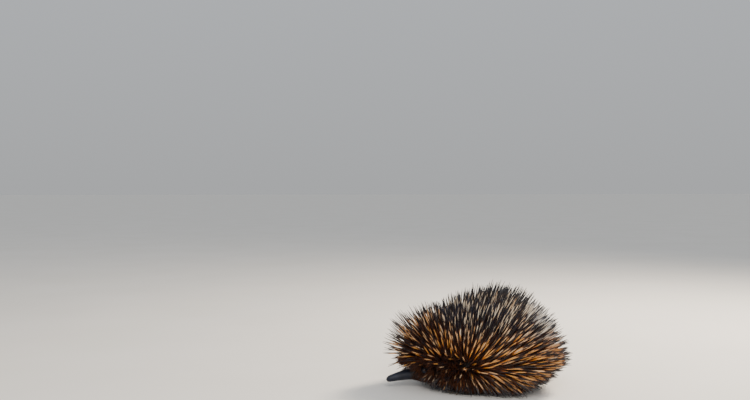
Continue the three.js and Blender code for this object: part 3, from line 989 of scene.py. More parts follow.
@dataclass(frozen=True)
class Coat:
    """Spines and hair over the trunk, head, tail and limbs.

    rear_fringe is where the low edge of the coat starts to rise and how steeply, swirl the place of the
    left swirl along and up the flank, and parting half the length of the line where the coat parts.
    A window is a cone kept free of hair before an eye or ear: its near and far end, its radius and how
    fast it widens. The map of tones runs along y from map_start over map_length. Hair is counted in
    tufts, each of so many blades, and roots and tips of hair stay over the floor by their clearances.
    """

    trunk: Trunk
    head: Head
    spine_count: int = 2500
    spine_length: float = 53.0
    spine_radius: float = 1.25
    tip_clearance: float = 1.0
    hair_root_clearance: float = 1.5
    hair_tip_clearance: float = 1.2
    eye_window: tuple[float, float, float, float] = (0.5, 34.0, 5.4, 0.2)
    ear_window: tuple[float, float, float, float] = (-2.0, 22.0, 7.0, 0.25)
    map_start: float = -215.0
    map_length: float = 340.0
    rear_fringe: tuple[float, float] = (18.0, 0.48)
    swirl: tuple[float, float] = (-98.0, 48.0)
    parting: float = 38.0
    bristle_count: int = 420
    trunk_tufts: int = 8600
    fringe_tufts: int = 2200
    hood_tufts: int = 1500
    head_tufts: int = 4200
    limb_tufts: int = 620
    tail_tufts: int = 950
    blades: int = 4
    hood_blades: int = 5

    def edge(self, y: np.ndarray) -> np.ndarray:
        """Lowest height at which spines grow."""
        return 22 + 18 * smooth(-95, -138, y) + 14 * smooth(15, 75, y)

    def lie(self, point: np.ndarray, normal: np.ndarray, flatter: float = 0.0) -> np.ndarray:
        """Direction of the coat.

        It fans out round a swirl over each shoulder, where it stands straight out: forwards over the
        brow, up the flank, back over the rump and down along the fringe. The direction is the normal
        plus the tangent of the lean times the unit vector (0, y - swirl y, k (z - swirl z)), k being
        larger on the flank. Close to the swirl its y part fades, so that the coat parts in a level line.

        Args:
            point: places on the skin.
            normal: normals there.
            flatter: degrees added to the lean.

        Returns:
            Unit vectors.
        """
        ahead, above = point[:, 1] - self.swirl[0], point[:, 2] - self.swirl[1]
        steep = mix(1.6, 2.2, smooth(-40, 40, ahead)) - 1.1 * np.clip(normal[:, 2], 0, 1) ** 2
        fan = np.stack([0 * ahead, ahead * smooth(0, self.parting, np.abs(ahead)), steep * above], -1)
        distance = np.linalg.norm(fan, axis=1)
        ridge = smooth(0.6, 0.95, normal[:, 2])
        rump = smooth(0.2, 0.8, normal[:, 1])
        brow = smooth(-0.2, -0.8, normal[:, 1])
        hem = smooth(42, 24, point[:, 2])
        lean = 58 - 12 * ridge - 26 * rump - 24 * brow - 18 * hem + flatter
        lean = np.radians(lean) * smooth(0, 48, distance)
        return unit(normal + np.tan(lean)[:, None] * unit(fan))

    def lifted(
        self, root: np.ndarray, way: np.ndarray, length: np.ndarray, clearance: Values
    ) -> tuple[np.ndarray, np.ndarray]:
        """Direction and length of strands whose tips are kept over the floor and the rear fringe's edge.

        Behind its start the edge rises in a straight line.

        Args:
            root: roots.
            way: directions.
            length: lengths.
            clearance: least height of the tips ahead of the hind legs.

        Returns:
            The directions and lengths.
        """
        tip = root + way * length[:, None]
        start, slope = self.rear_fringe
        edge = np.maximum(0, slope * (tip[:, 1] - start))
        tip[:, 2] = np.maximum(tip[:, 2], edge + clearance)
        return unit(tip - root), np.linalg.norm(tip - root, axis=1)

    def place(self, y: np.ndarray, angle: np.ndarray) -> np.ndarray:
        """Place of a root on the trunk or head unrolled: across by the angle, up by y."""
        across, up = (angle + np.pi) / (2 * np.pi), (y - self.map_start) / self.map_length
        return np.stack([across * 0.99, np.clip(up, 0, 0.99)], -1)

    def spines(self) -> Strands:
        """The spines, each with its own small errors of direction and length.

        They are longer over the brow and crown and shorter on the nape and along the low edge, as the
        outline shows, and short and rough at the swirls.

        Returns:
            The spines.
        """
        rng = np.random.default_rng(11)
        trunk = self.trunk

        def weight(p: np.ndarray) -> np.ndarray:
            """None under the edge, closer set along the fringe and over the brow."""
            over = smooth(-4, 3, p[:, 2] - self.edge(p[:, 1]))
            return over * (1 + 0.9 * smooth(56, 36, p[:, 2]) + 0.5 * smooth(-120, -160, p[:, 1]))

        span = (trunk.front + 0.4, trunk.rear - 0.4)
        y, angle = scatter(trunk.surface, span, weight, self.spine_count, rng)
        point, normal, _, _ = trunk.frame(y, angle)
        count = len(y)
        from_swirl = np.hypot(0.7 * (y - self.swirl[0]), 1.8 * (point[:, 2] - self.swirl[1]))
        swirling = smooth(55, 10, from_swirl)
        error = 0.085 + 0.2 * swirling
        way = unit(self.lie(point, normal) + error[:, None] * rng.normal(0, 1, (count, 3)))
        # The outline asks for so many millimetres more or less in each of these places.
        low = smooth(54, 26, point[:, 2])
        ridge = smooth(0.6, 0.95, normal[:, 2])
        fore = smooth(-115, -150, y) * smooth(74, 94, point[:, 2])
        nape = ridge * smooth(-122, -100, y) * smooth(-60, -90, y)
        crown = ridge * smooth(-60, -20, y) * smooth(60, 30, y)
        midway = smooth(-85, -50, y) * smooth(45, 10, y)
        stern = smooth(35, 90, y)
        length = self.spine_length + 12 * fore - 8 * nape + 8 * crown - 2 * stern
        length = length - (13 - 21 * midway + 11 * stern) * low
        length = length - 22 * smooth(60, 46, point[:, 2]) * smooth(-125, -145, y)
        length = length * (1 - 0.18 * swirling)
        length = length * rng.uniform(0.82, 1.05, count) * np.where(rng.random(count) < 0.06, 1.1, 1)
        way, length = self.lifted(point, way, length, self.tip_clearance + 4 * rng.random(count))
        hood = smooth(-90, -150, y)
        upper = smooth(70, 115, point[:, 2])
        radius = self.spine_radius * rng.uniform(0.8, 1.12, count)
        radius = radius * (1 - 0.25 * hood) * (1 - 0.14 * upper)
        sway = unit(np.cross(way, rng.normal(0, 1, (count, 3))))
        sway[:, 2] = np.abs(sway[:, 2])
        tone = rng.random(count)
        chance = rng.random(count)
        painted_glare, cheek = Markings.painted_glare(point), Markings.cheek(point)
        # Less amber on the cheeks is painted shade.
        warm = Markings.warmth(point) * (1 - 0.5 * cheek)
        shaftless = smooth(0.06, -0.02, chance - Markings.gloom(point))
        marks = {
            "tone": tone,
            "warm": np.clip(warm + rng.normal(0, 0.22, count), 0, 1),
            # The dark mark is partly spines without a pale shaft and partly painted shade on the cheeks
            # and the low fringe.
            "dark": np.maximum(shaftless, Markings.painted_shade(point)),
            # The pale mark is painted glare over the top of the rump.
            "pale": np.clip(painted_glare + rng.normal(0, 0.15, count) * painted_glare, 0, 1),
        }
        root, bend = self.head.hollowed(point), rng.uniform(0, 1.6, count)
        return Strands(root, way, length, radius, sway, bend, self.place(y, angle), marks)

    def combed(
        self,
        spread: float,
        blades: int,
        radius: float | np.ndarray,
        root: np.ndarray,
        way: np.ndarray,
        normal: np.ndarray,
        length: np.ndarray,
        place: np.ndarray,
        rng: np.random.Generator,
        stray: float = 0.13,
    ) -> Strands:
        """Tufts of hair: blades set round each root, bent towards the skin and kept over the floor.

        Args:
            spread: how far the blades of a tuft stand apart.
            blades: hairs of a tuft.
            radius: half thickness of a hair, one for all or one a tuft.
            root: roots of the tufts.
            way: their directions.
            normal: normals of the skin there.
            length: their lengths.
            place: their places in the bake map.
            rng: random numbers.
            stray: how far hairs stray from their tuft's direction.

        Returns:
            The hairs.
        """
        radius = np.broadcast_to(radius, len(root))
        root = self.head.hollowed(root)
        rows = (root, way, normal, length, place, radius)
        root, way, normal, length, place, radius = (np.repeat(x, blades, 0) for x in rows)
        count = len(root)
        astray = rng.normal(0, spread, root.shape)
        root = root + astray - ((astray * normal).sum(1, keepdims=True) + 0.3) * normal
        root[:, 2] = np.maximum(root[:, 2], self.hair_root_clearance)
        way = unit(way + rng.normal(0, stray, (count, 3)))
        length = length * rng.uniform(0.66, 1.12, count)
        tip = root + way * length[:, None]
        tip[:, 2] = np.maximum(tip[:, 2], self.hair_tip_clearance + 2.5 * rng.random(count))
        way = unit(tip - root)
        length = np.linalg.norm(tip - root, axis=1)
        bend = length * rng.uniform(0.02, 0.16, count) * smooth(2, 14, tip[:, 2])
        marks = {"tone": rng.random(count), "warm": Markings.warmth(root)}
        radius = radius * rng.uniform(0.7, 1.2, count)
        return Strands(root, way, length, radius, -normal, bend, place, marks)

    def in_window(self, point: np.ndarray) -> np.ndarray:
        """True for points before an eye, in a cone along its aim, and for those in an ear's mouth.

        Args:
            point: places on either side.

        Returns:
            True or False for each.
        """
        near, far, radius, widening = self.eye_window
        depth, off = from_axis(point, self.head.eye, self.head.eye_aim)
        off = np.linalg.norm(off, axis=1)
        eye = (depth > near) & (depth < far) & (off < radius + widening * depth)
        near, far, radius, widening = self.ear_window
        depth, off = from_axis(point, self.head.ear, self.head.ear_aim)
        off = np.hypot(off[:, 0], off[:, 1]) + 0.55 * np.abs(off[:, 2])
        ear = (depth > near) & (depth < far) & (off < radius + widening * depth)
        return eye | ear

    def crossings(self, strands: Strands) -> np.ndarray:
        """Whether each strand lies before an eye or in an ear, a row for each checked share."""
        return np.stack([self.in_window(strands.at(share)) for share in CHECKED_SHARES])

    def trimmed(self, strands: Strands) -> Strands:
        """Hair cut short where it would hide an eye or fill an ear, and thinned where little is left.

        Args:
            strands: the hair, changed in place.

        Returns:
            The hair.
        """
        stub, short = 2.6, 6
        inside = self.crossings(strands)
        first = CHECKED_SHARES[np.argmax(inside, 0)]
        left = np.maximum(strands.length * (first - 0.15), stub)
        hit = inside.any(0)
        strands.bend = np.where(hit, 0.3 * strands.bend, strands.bend)
        strands.radius = np.where(hit & (left < short), 0.6 * strands.radius, strands.radius)
        strands.length = np.where(hit, np.minimum(left, strands.length), strands.length)
        return strands

    def parted(self, strands: Strands) -> Strands:
        """The strands without those that would hide an eye or fill an ear."""
        return strands.chosen(~self.crossings(strands).any(0))

    def trunk_hair(self) -> Strands:
        """Hair between the spines and over the belly, lying back under them.

        Returns:
            The hairs.
        """
        rng = np.random.default_rng(12)
        trunk = self.trunk

        def weight(p: np.ndarray) -> np.ndarray:
            """Closer set on the low flank, thinner on the belly."""
            belly = smooth(26, 14, p[:, 2])
            return 1 + 0.9 * smooth(66, 40, p[:, 2]) * (1 - belly) - 0.45 * belly

        span = (trunk.front + 0.4, trunk.rear - 0.4)
        y, angle = scatter(trunk.surface, span, weight, self.trunk_tufts, rng)
        point, normal, back, _ = trunk.frame(y, angle)
        under = smooth(2.0, 2.6, np.abs(angle)) * smooth(-150, -120, y)
        way = unit(mix(self.lie(point, normal, 9), unit(back + 0.3 * normal), under[:, None]))
        flank = 27 + 5 * smooth(60, 30, point[:, 2]) + 6 * smooth(90, 120, point[:, 2])
        length = mix(flank, 10, under)
        length = length - 6 * smooth(-130, -165, y)
        raised, shorter = self.lifted(point, way, length, self.tip_clearance)
        way = unit(mix(raised, way, under[:, None]))
        low_rear = smooth(20, 70, y) * smooth(50, 30, point[:, 2])
        length = mix(shorter, length, under) * (1 - 0.3 * low_rear)
        keep = ~covered_by_limbs(point)
        rows = (row[keep] for row in (point, way, normal, length, self.place(y, angle)))
        return self.combed(1.4, self.blades, 0.5, *rows, rng)

    def fringe_hair(self) -> Strands:
        """Long hair among the lowest spines, drooping almost to the ground.

        Returns:
            The hairs.
        """
        rng = np.random.default_rng(16)
        trunk = self.trunk

        def weight(p: np.ndarray) -> np.ndarray:
            """A low band behind the hood."""
            return smooth(14, 22, p[:, 2]) * smooth(48, 36, p[:, 2]) * smooth(-148, -128, p[:, 1]) + 1e-6

        span = (trunk.front + 0.2, trunk.rear - 0.4)
        y, angle = scatter(trunk.surface, span, weight, self.fringe_tufts, rng)
        point, normal, _, _ = trunk.frame(y, angle)
        way = unit(self.lie(point, normal) + 0.2 * normal + np.array([0, 0, -0.5]))
        length = 22 + 8 * smooth(22, 36, point[:, 2]) - 12 * smooth(20, 70, y)
        length = length + 5 * smooth(-95, -60, y) * smooth(30, 0, y)
        way, length = self.lifted(point, way, length, self.tip_clearance)
        rows = (point, way, normal, length, self.place(y, angle))
        return self.combed(1.5, self.blades, 0.48, *rows, rng, 0.18)

    def hood_hair(self) -> Strands:
        """Long hair that hangs from the front edge of the hood over the face and the cheeks.

        Returns:
            The hairs.
        """
        rng = np.random.default_rng(15)
        trunk = self.trunk

        def weight(p: np.ndarray) -> np.ndarray:
            """A band round the front of the trunk, closer set at its end."""
            band = smooth(30, 40, p[:, 2]) * smooth(74, 60, p[:, 2])
            return band * smooth(-92, -120, p[:, 1]) * (1 + smooth(-140, -160, p[:, 1])) + 1e-6

        y, angle = scatter(trunk.surface, (trunk.front + 0.2, -90.0), weight, self.hood_tufts, rng)
        point, normal, _, _ = trunk.frame(y, angle)
        side = np.sign(point[:, 0]) * smooth(4, 30, np.abs(point[:, 0]))
        hang = np.stack([0.45 * side, -0.85 + 0.5 * np.abs(side), -0.55 - 0.35 * np.abs(side)], -1)
        way = unit(0.45 * normal + hang)
        length = 17 + 8 * smooth(50, 62, point[:, 2])
        rows = (point, way, normal, length, self.place(y, angle))
        return self.combed(1.5, self.hood_blades, 0.45, *rows, rng, 0.2)

    def head_hair(self) -> Strands:
        """Short hair of the face, longer on the cheeks and throat, none on the beak.

        Returns:
            The hairs.
        """
        rng = np.random.default_rng(13)
        head = self.head

        def weight(p: np.ndarray) -> np.ndarray:
            """None on the beak, closest set at its root."""
            return smooth(-176, -160, p[:, 1]) * (1 + 1.2 * smooth(-136, -160, p[:, 1]))

        y, angle = scatter(head.surface, (-176.0, -66.0), weight, self.head_tufts, rng)
        point, normal, back, down = head.frame(y, angle)
        from_eye = np.linalg.norm(on_left(point) - np.array(head.eye), axis=1)
        keep = ~self.trunk.inside(point, 2.0) & (from_eye > 5.6)
        throat = smooth(1.5, 2.6, np.abs(angle))
        grown = smooth(-175, -150, y)
        length = mix(2.0, 13, smooth(-175, -122, y)) * mix(0.4, 1, smooth(5, 14, from_eye))
        length = length + 6 * throat * smooth(-168, -150, y)
        rise = mix(0.16, 0.34, grown)[:, None]
        way = unit(rise * normal + back + 0.4 * down * (1 - throat)[:, None])
        radius = mix(0.2, 0.36, grown)
        rows = (row[keep] for row in (point, way, normal, length, self.place(y, angle)))
        return self.combed(0.8, self.blades, radius[keep], *rows, rng)

    def bristles(self) -> Strands:
        """Thin stiff spines along the cheeks, lying back over the fur of the face.

        Returns:
            The bristles.
        """
        rng = np.random.default_rng(17)
        head = self.head

        def weight(p: np.ndarray) -> np.ndarray:
            """The upper part of the face, behind the beak's root."""
            return smooth(22, 32, p[:, 2]) * smooth(-160, -140, p[:, 1]) + 1e-6

        y, angle = scatter(head.surface, (-162.0, -92.0), weight, self.bristle_count, rng)
        point, normal, back, down = head.frame(y, angle)
        from_eye = np.linalg.norm(on_left(point) - np.array(head.eye), axis=1)
        keep = ~self.trunk.inside(point, 2.0) & (from_eye > 13)
        point, normal, back, down, y, angle = (x[keep] for x in (point, normal, back, down, y, angle))
        count = len(y)
        way = unit(0.55 * normal + back + 0.35 * down + rng.normal(0, 0.16, (count, 3)))
        grown = smooth(-168, -125, y)
        length = mix(8, 19, grown) * rng.uniform(0.75, 1.15, count)
        marks = {
            "tone": rng.random(count),
            "warm": np.clip(rng.normal(0.55, 0.25, count), 0, 1),
            "dark": smooth(0.5, 0.42, rng.random(count)),
            "pale": np.zeros(count),
        }
        radius = mix(0.32, 0.62, grown)
        return Strands(point, way, length, radius, -normal, 0.1 * length, self.place(y, angle), marks)

    def limb_hair(self, limb: Limb, side: float) -> Strands:
        """Short hair down a leg and over the back of the foot.

        Args:
            limb: the leg and foot.
            side: 1 for the left, -1 for the right.

        Returns:
            The hairs.
        """
        rng = np.random.default_rng(14 + int(side) + len(limb.name))
        tufts = self.limb_tufts
        hip = np.array([side * limb.hip[0], limb.hip[1], limb.hip[2]])
        foot = np.array([side * limb.foot[0], limb.foot[1], 6.0])
        way_down = unit(foot - hip)
        t = rng.random(tufts) * 0.95
        a = rng.uniform(-np.pi, np.pi, tufts)
        radius = mix(*limb.leg_radius, smooth(0, 1, t))
        across = unit(np.cross(way_down, [0, 0, 1.0]))
        other = np.cross(across, way_down)
        normal = np.cos(a)[:, None] * across + np.sin(a)[:, None] * other
        leg = hip + t[:, None] * (foot - hip) + radius[:, None] * normal
        turn = np.arccos(rng.uniform(0.15, 1, tufts))
        around = rng.uniform(-np.pi, np.pi, tufts)
        over = np.stack([np.sin(turn) * np.cos(around), np.sin(turn) * np.sin(around), np.cos(turn)], -1)
        wide, high = limb.palm
        top = np.array([side * limb.foot[0], limb.foot[1], 4.0]) + over * [wide, wide, high]
        ahead = limb.heading(side, 2)
        point = np.concatenate([leg, top])
        normal = np.concatenate([normal, unit(over)])
        way = np.concatenate([np.broadcast_to(way_down, leg.shape), np.broadcast_to(ahead, top.shape)])
        way = unit(way + 0.45 * normal)
        length = np.concatenate([np.full(tufts, 11.0), np.full(tufts, 6.0)])
        keep = ~self.trunk.inside(point, 2.0) & (point[:, 2] > 3)
        across_map, up_map = np.concatenate([a, around]), np.concatenate([t, turn / 2])
        place = np.stack([across_map / 7 + 0.5, up_map * 0.9], -1)
        rows = (row[keep] for row in (point, way, normal, length, place))
        return self.combed(0.8, self.blades, 0.36, *rows, rng)

    def tail_hair(self) -> Strands:
        """Short hair over the stub of the tail, leaning inwards over its tip.

        Returns:
            The hairs.
        """
        rng = np.random.default_rng(19)
        tufts = self.tail_tufts
        t = rng.random(tufts) ** 0.8
        angle = rng.uniform(-np.pi, np.pi, tufts)
        tail = Tail()
        point = tail.surface(t * 0.99, angle)
        _, y, centre = tail.section(t * 0.99)
        normal = unit(point - np.stack([0 * y, y, centre], -1))
        keep = ~self.trunk.inside(point, 1.0)
        way = unit(np.array([0, 0.9, -0.25]) + mix(0.5, -0.35, smooth(0.7, 1, t))[:, None] * normal)
        length = np.full(tufts, 12.0)
        place = np.stack([angle / 7 + 0.5, t * 0.9], -1)
        rows = (row[keep] for row in (point, way, normal, length, place))
        return self.combed(0.8, self.blades, 0.4, *rows, rng)


def covered_by_limbs(points: np.ndarray) -> np.ndarray:
    """True where the top of a leg covers the trunk: inside a circle round each hip, seen from below.

    Args:
        points: places on the trunk.

    Returns:
        True or False for each.
    """
    covered = np.zeros(len(points), bool)
    for limb in (FRONT_LIMB, HIND_LIMB):
        away = np.hypot(np.abs(points[:, 0]) - limb.hip[0], points[:, 1] - limb.hip[1])
        covered |= (away < 0.5 * limb.leg_radius[0]) & (points[:, 2] < limb.hip[2])
    return covered


def hex_linear(code: str) -> tuple[float, float, float, float]:
    """Linear RGBA of an sRGB hex colour such as "#3a2416"."""
    parts = [int(code[i : i + 2], 16) / 255 for i in (1, 3, 5)]
    return (*(c / 12.92 if c <= 0.04045 else ((c + 0.055) / 1.055) ** 2.4 for c in parts), 1.0)


def add_node(
    tree: bpy.types.NodeTree,
    kind: str,
    settings: dict[str, object] | None = None,
    inputs: dict[int | str, object] | None = None,
) -> bpy.types.Node:
    """Adds a node.

    Args:
        tree: the node tree.
        kind: Blender's name of the node's class.
        settings: its own properties by name; stops are the places and sRGB colours of a colour ramp.
        inputs: a value or the output socket that feeds it, for each input by its name or number.

    Returns:
        The node.
    """
    node = tree.nodes.new(kind)
    settings = dict(settings or {})
    stops = settings.pop("stops", ())
    for name, value in settings.items():
        setattr(node, name, value)
    for _ in stops[2:]:
        node.color_ramp.elements.new(0.5)
    for index, (position, _) in enumerate(stops):
        node.color_ramp.elements[index].position = position
    for index, (_, code) in enumerate(stops):
        node.color_ramp.elements[index].color = hex_linear(code)
    for key, value in (inputs or {}).items():
        if isinstance(value, bpy.types.NodeSocket):
            tree.links.new(value, node.inputs[key])
        else:
            node.inputs[key].default_value = value
    return node


def cells(size: float) -> float:
    """Scale that makes a noise's or a cell pattern's features about size millimetres across."""
    return 1 / (size * MM)


@dataclass(frozen=True)
class Finish:
    """A surface: its name, roughness, clear top layer and how its colour and relief are made."""

    name: str
    roughness: float
    build: Callable[[bpy.types.NodeTree], Sockets]
    ior: float = 1.5
    coat: float = 0.0
    coat_roughness: float = 0.08

    def material(self) -> bpy.types.Material:
        """The finish as a node material.

        Returns:
            The material.
        """
        material = bpy.data.materials.new(self.name)
        material.use_nodes = True
        tree = material.node_tree
        tree.nodes.clear()
        inputs = {
            "Roughness": self.roughness,
            "IOR": self.ior,
            "Coat Weight": self.coat,
            "Coat Roughness": self.coat_roughness,
            **self.build(tree),
        }
        shader = add_node(tree, "ShaderNodeBsdfPrincipled", inputs=inputs)
        add_node(tree, "ShaderNodeOutputMaterial", inputs={"Surface": shader.outputs[0]})
        return material


# Colours from the root of a spine or hair to its tip. The blue in the black tips of the spines is a
# painted reflection of the sky.
CREAM_SPINE = (
    (0.0, "#26140a"),
    (0.11, "#70401a"),
    (0.22, "#cfa066"),
    (0.36, "#fdf0d8"),
    (0.62, "#f0dabb"),
    (0.69, "#54423a"),
    (0.75, "#12141f"),
    (1.0, "#090b16"),
)
AMBER_SPINE = (
    (0.0, "#2a1409"),
    (0.13, "#7a3a10"),
    (0.27, "#c87420"),
    (0.48, "#e6a650"),
    (0.64, "#cc8e52"),
    (0.71, "#4c2210"),
    (0.79, "#1e0b06"),
    (1.0, "#0e0706"),
)
# A painted highlight: spines painted near white over most of their length, as glare of the light from
# behind.
GLARE_SPINE = (
    (0.0, "#2a1c12"),
    (0.14, "#8d7352"),
    (0.28, "#fbf3e2"),
    (0.70, "#fffaf2"),
    (0.80, "#6a6a72"),
    (0.88, "#171b2a"),
)
DARK_SPINE = ((0.0, "#1e0d06"), (0.45, "#2e170b"), (0.75, "#160f14"), (1.0, "#0c0f1c"))
# Black hair whose tips carry a painted blue reflection of the sky.
SKY_TINTED_HAIR = ((0.0, "#08080a"), (0.5, "#0e111e"), (1.0, "#1a2240"))
BROWN_HAIR = ((0.0, "#0e0603"), (0.5, "#291207"), (1.0, "#4b2710"))
RUST_HAIR = ((0.0, "#180a04"), (0.5, "#54260b"), (1.0, "#924f1e"))
WORN_HORN = ((0.0, "#1d1815"), (0.55, "#3a312a"), (1.0, "#7d6f5f"))
# Colours from the hollows of a noise to its heights.
COOL_HIDE = ((0.3, "#0c0c10"), (0.7, "#16161d"))
BROWN_HIDE = ((0.3, "#100a07"), (0.7, "#24160e"))
# Near-black beak skin with a painted blue reflection of the sky, darkened a little as painted shade.
SKY_TINTED_BEAK_HIDE = ((0.3, "#0e111c"), (0.55, "#181d2c"), (0.75, "#272d3e"))
SOLE_HIDE = ((0.3, "#2a211d"), (0.7, "#40342d"))
GRISTLE = ((0.3, "#382b26"), (0.7, "#5c483f"))
PALE_FLOOR = ((0.3, "#e6e2da"), (0.7, "#eae6df"))
# Colours from the rim of the eye to its middle.
IRIS = ((0.70, "#150d09"), (0.80, "#3f2512"), (0.93, "#2b180c"), (0.95, "#030202"))


def layered(tree: bpy.types.NodeTree, base: Colour, layers: list[tuple[Colour, Colour]]) -> Colour:
    """Colours laid over each other, each as far as its share says.

    Args:
        tree: the node tree.
        base: the lowest colour.
        layers: share and colour of each layer, from below.

    Returns:
        Socket of the colour.
    """
    for share, colour in layers:
        mixer = add_node(tree, "ShaderNodeMix", {"data_type": "RGBA"}, {0: share, 6: base, 7: colour})
        base = mixer.outputs[2]
    return base


def textured(
    tree: bpy.types.NodeTree, colour: Colour, size: float, shades: tuple[float, float], strength: float
) -> Sockets:
    """A colour made lighter and darker, and raised by a fifth of a millimetre, by one noise.

    Args:
        tree: the node tree.
        colour: the colour.
        size: size of the noise's features in millimetres.
        shades: darkest and lightest factor of the colour.
        strength: strength of the relief.

    Returns:
        Sockets of colour and normal by the shader's inputs.
    """
    place = add_node(tree, "ShaderNodeTexCoord").outputs["Object"]
    fine = {"Scale": cells(size), "Detail": 3.0, "Vector": place}
    height = add_node(tree, "ShaderNodeTexNoise", inputs=fine).outputs["Fac"]
    span = {0: height, 1: 0.3, 2: 0.7, 3: shades[0], 4: shades[1]}
    shade = add_node(tree, "ShaderNodeMapRange", inputs=span).outputs[0]
    multiply = {"data_type": "RGBA", "blend_type": "MULTIPLY"}
    tinted = add_node(tree, "ShaderNodeMix", multiply, {0: 1.0, 6: colour, 7: shade})
    relief = {"Strength": strength, "Distance": 0.2 * MM, "Height": height}
    return {
        "Base Color": tinted.outputs[2],
        "Normal": add_node(tree, "ShaderNodeBump", inputs=relief).outputs[0],
    }


def spine_nodes(tree: bpy.types.NodeTree) -> Sockets:
    """Keratin spine: dark root, amber to cream shaft, black tip, with faint streaks along it.

    Args:
        tree: the material's node tree.

    Returns:
        Sockets by the shader's inputs.
    """
    along, tone, warm, dark, pale = (
        add_node(tree, "ShaderNodeAttribute", {"attribute_name": name}).outputs["Fac"]
        for name in ("along", "tone", "warm", "dark", "pale")
    )
    # Each spine's bands are moved by up to an eighth of its length.
    shift = {"operation": "MULTIPLY_ADD"}
    placed = add_node(tree, "ShaderNodeMath", shift, {0: tone, 1: 0.24, 2: -0.12}).outputs[0]
    placed = add_node(tree, "ShaderNodeMath", {"operation": "ADD"}, {0: along, 1: placed}).outputs[0]
    cream, amber, glare_colour, black = (
        add_node(tree, "ShaderNodeValToRGB", {"stops": stops}, {"Fac": placed}).outputs[0]
        for stops in (CREAM_SPINE, AMBER_SPINE, GLARE_SPINE, DARK_SPINE)
    )
    # The pale layer is painted glare over the rump; the dark layer is partly spines without a pale shaft
    # and partly painted shade.
    colour = layered(tree, cream, [(warm, amber), (pale, glare_colour), (dark, black)])
    # The streaks of a real spine are about 0.1 mm apart; they are drawn 1.1 mm apart, so that they show.
    return textured(tree, colour, 1.1, (0.84, 1.1), 0.15)


def hair_nodes(tree: bpy.types.NodeTree) -> Sockets:
    """Coarse hair: black with a painted blue reflection of the sky on the upper back and the hood, dark
    brown to rust down the flank.

    Args:
        tree: the material's node tree.

    Returns:
        Sockets by the shader's inputs.
    """
    along, tone, warm = (
        add_node(tree, "ShaderNodeAttribute", {"attribute_name": name}).outputs["Fac"]
        for name in ("along", "tone", "warm")
    )
    cool, brown, rust = (
        add_node(tree, "ShaderNodeValToRGB", {"stops": stops}, {"Fac": along}).outputs[0]
        for stops in (SKY_TINTED_HAIR, BROWN_HAIR, RUST_HAIR)
    )
    some = add_node(tree, "ShaderNodeMapRange", inputs={0: tone, 1: 0.7, 2: 0.9}).outputs[0]
    rusty = add_node(tree, "ShaderNodeMath", {"operation": "MULTIPLY"}, {0: some, 1: warm}).outputs[0]
    return {"Base Color": layered(tree, cool, [(warm, brown), (rusty, rust)])}


def skin_nodes(tree: bpy.types.NodeTree) -> Sockets:
    """Hide under the coat, and the bare skin of the beak and soles: the beak near black, with a painted
    blue reflection of the sky and darkened as painted shade.

    Args:
        tree: the material's node tree.

    Returns:
        Sockets by the shader's inputs.
    """
    bare, sole, warm = (
        add_node(tree, "ShaderNodeAttribute", {"attribute_name": name}).outputs["Fac"]
        for name in ("bare", "sole", "warm")
    )
    place = add_node(tree, "ShaderNodeTexCoord").outputs["Object"]
    # The skin's grain is about 0.4 mm across on a real beak; it is drawn at 1.1 mm, so that it shows.
    grain = add_node(tree, "ShaderNodeTexVoronoi", inputs={"Scale": cells(1.1), "Vector": place})
    # A hide's blotches are 1 to 2 cm across and its wrinkles about 2 mm apart, which shows as it is.
    coarse = {"Scale": cells(17), "Detail": 4.0, "Vector": place}
    patches = add_node(tree, "ShaderNodeTexNoise", inputs=coarse).outputs["Fac"]
    fine = {"Scale": cells(2.2), "Detail": 5.0, "Vector": place}
    wrinkles = add_node(tree, "ShaderNodeTexNoise", inputs=fine).outputs["Fac"]
    cool, brown, beak, pad = (
        add_node(tree, "ShaderNodeValToRGB", {"stops": stops}, {"Fac": patches}).outputs[0]
        for stops in (COOL_HIDE, BROWN_HIDE, SKY_TINTED_BEAK_HIDE, SOLE_HIDE)
    )
    heights = {0: grain.outputs["Distance"], 1: wrinkles}
    height = add_node(tree, "ShaderNodeMath", {"operation": "ADD"}, heights).outputs[0]
    relief = {"Strength": 0.5, "Distance": 0.4 * MM, "Height": height}
    return {
        "Base Color": layered(tree, cool, [(warm, brown), (bare, beak), (sole, pad)]),
        "Normal": add_node(tree, "ShaderNodeBump", inputs=relief).outputs[0],
    }


def ear_nodes(tree: bpy.types.NodeTree) -> Sockets:
    """Gristle of the ear under thin skin: grey-brown, paler along folds.

    Args:
        tree: the material's node tree.

    Returns:
        Sockets by the shader's inputs.
    """
    place = add_node(tree, "ShaderNodeTexCoord").outputs["Object"]
    # The folds inside an ear are some 4 to 5 mm apart, which shows as it is.
    folds = {"Scale": cells(4.5), "Detail": 4.0, "Vector": place}
    height = add_node(tree, "ShaderNodeTexNoise", inputs=folds).outputs["Fac"]
    colour = add_node(tree, "ShaderNodeValToRGB", {"stops": GRISTLE}, {"Fac": height}).outputs[0]
    relief = {"Strength": 0.4, "Distance": 0.3 * MM, "Height": height}
    return {"Base Color": colour, "Normal": add_node(tree, "ShaderNodeBump", inputs=relief).outputs[0]}


def eye_nodes(tree: bpy.types.NodeTree) -> Sockets:
    """Eye: black pupil in a very dark brown iris, by how far a point faces along the eye's aim.

    Args:
        tree: the material's node tree.

    Returns:
        Sockets by the shader's inputs.
    """
    facing = add_node(tree, "ShaderNodeAttribute", {"attribute_name": "facing"}).outputs["Fac"]
    colour = add_node(tree, "ShaderNodeValToRGB", {"stops": IRIS}, {"Fac": facing})
    return {"Base Color": colour.outputs[0]}


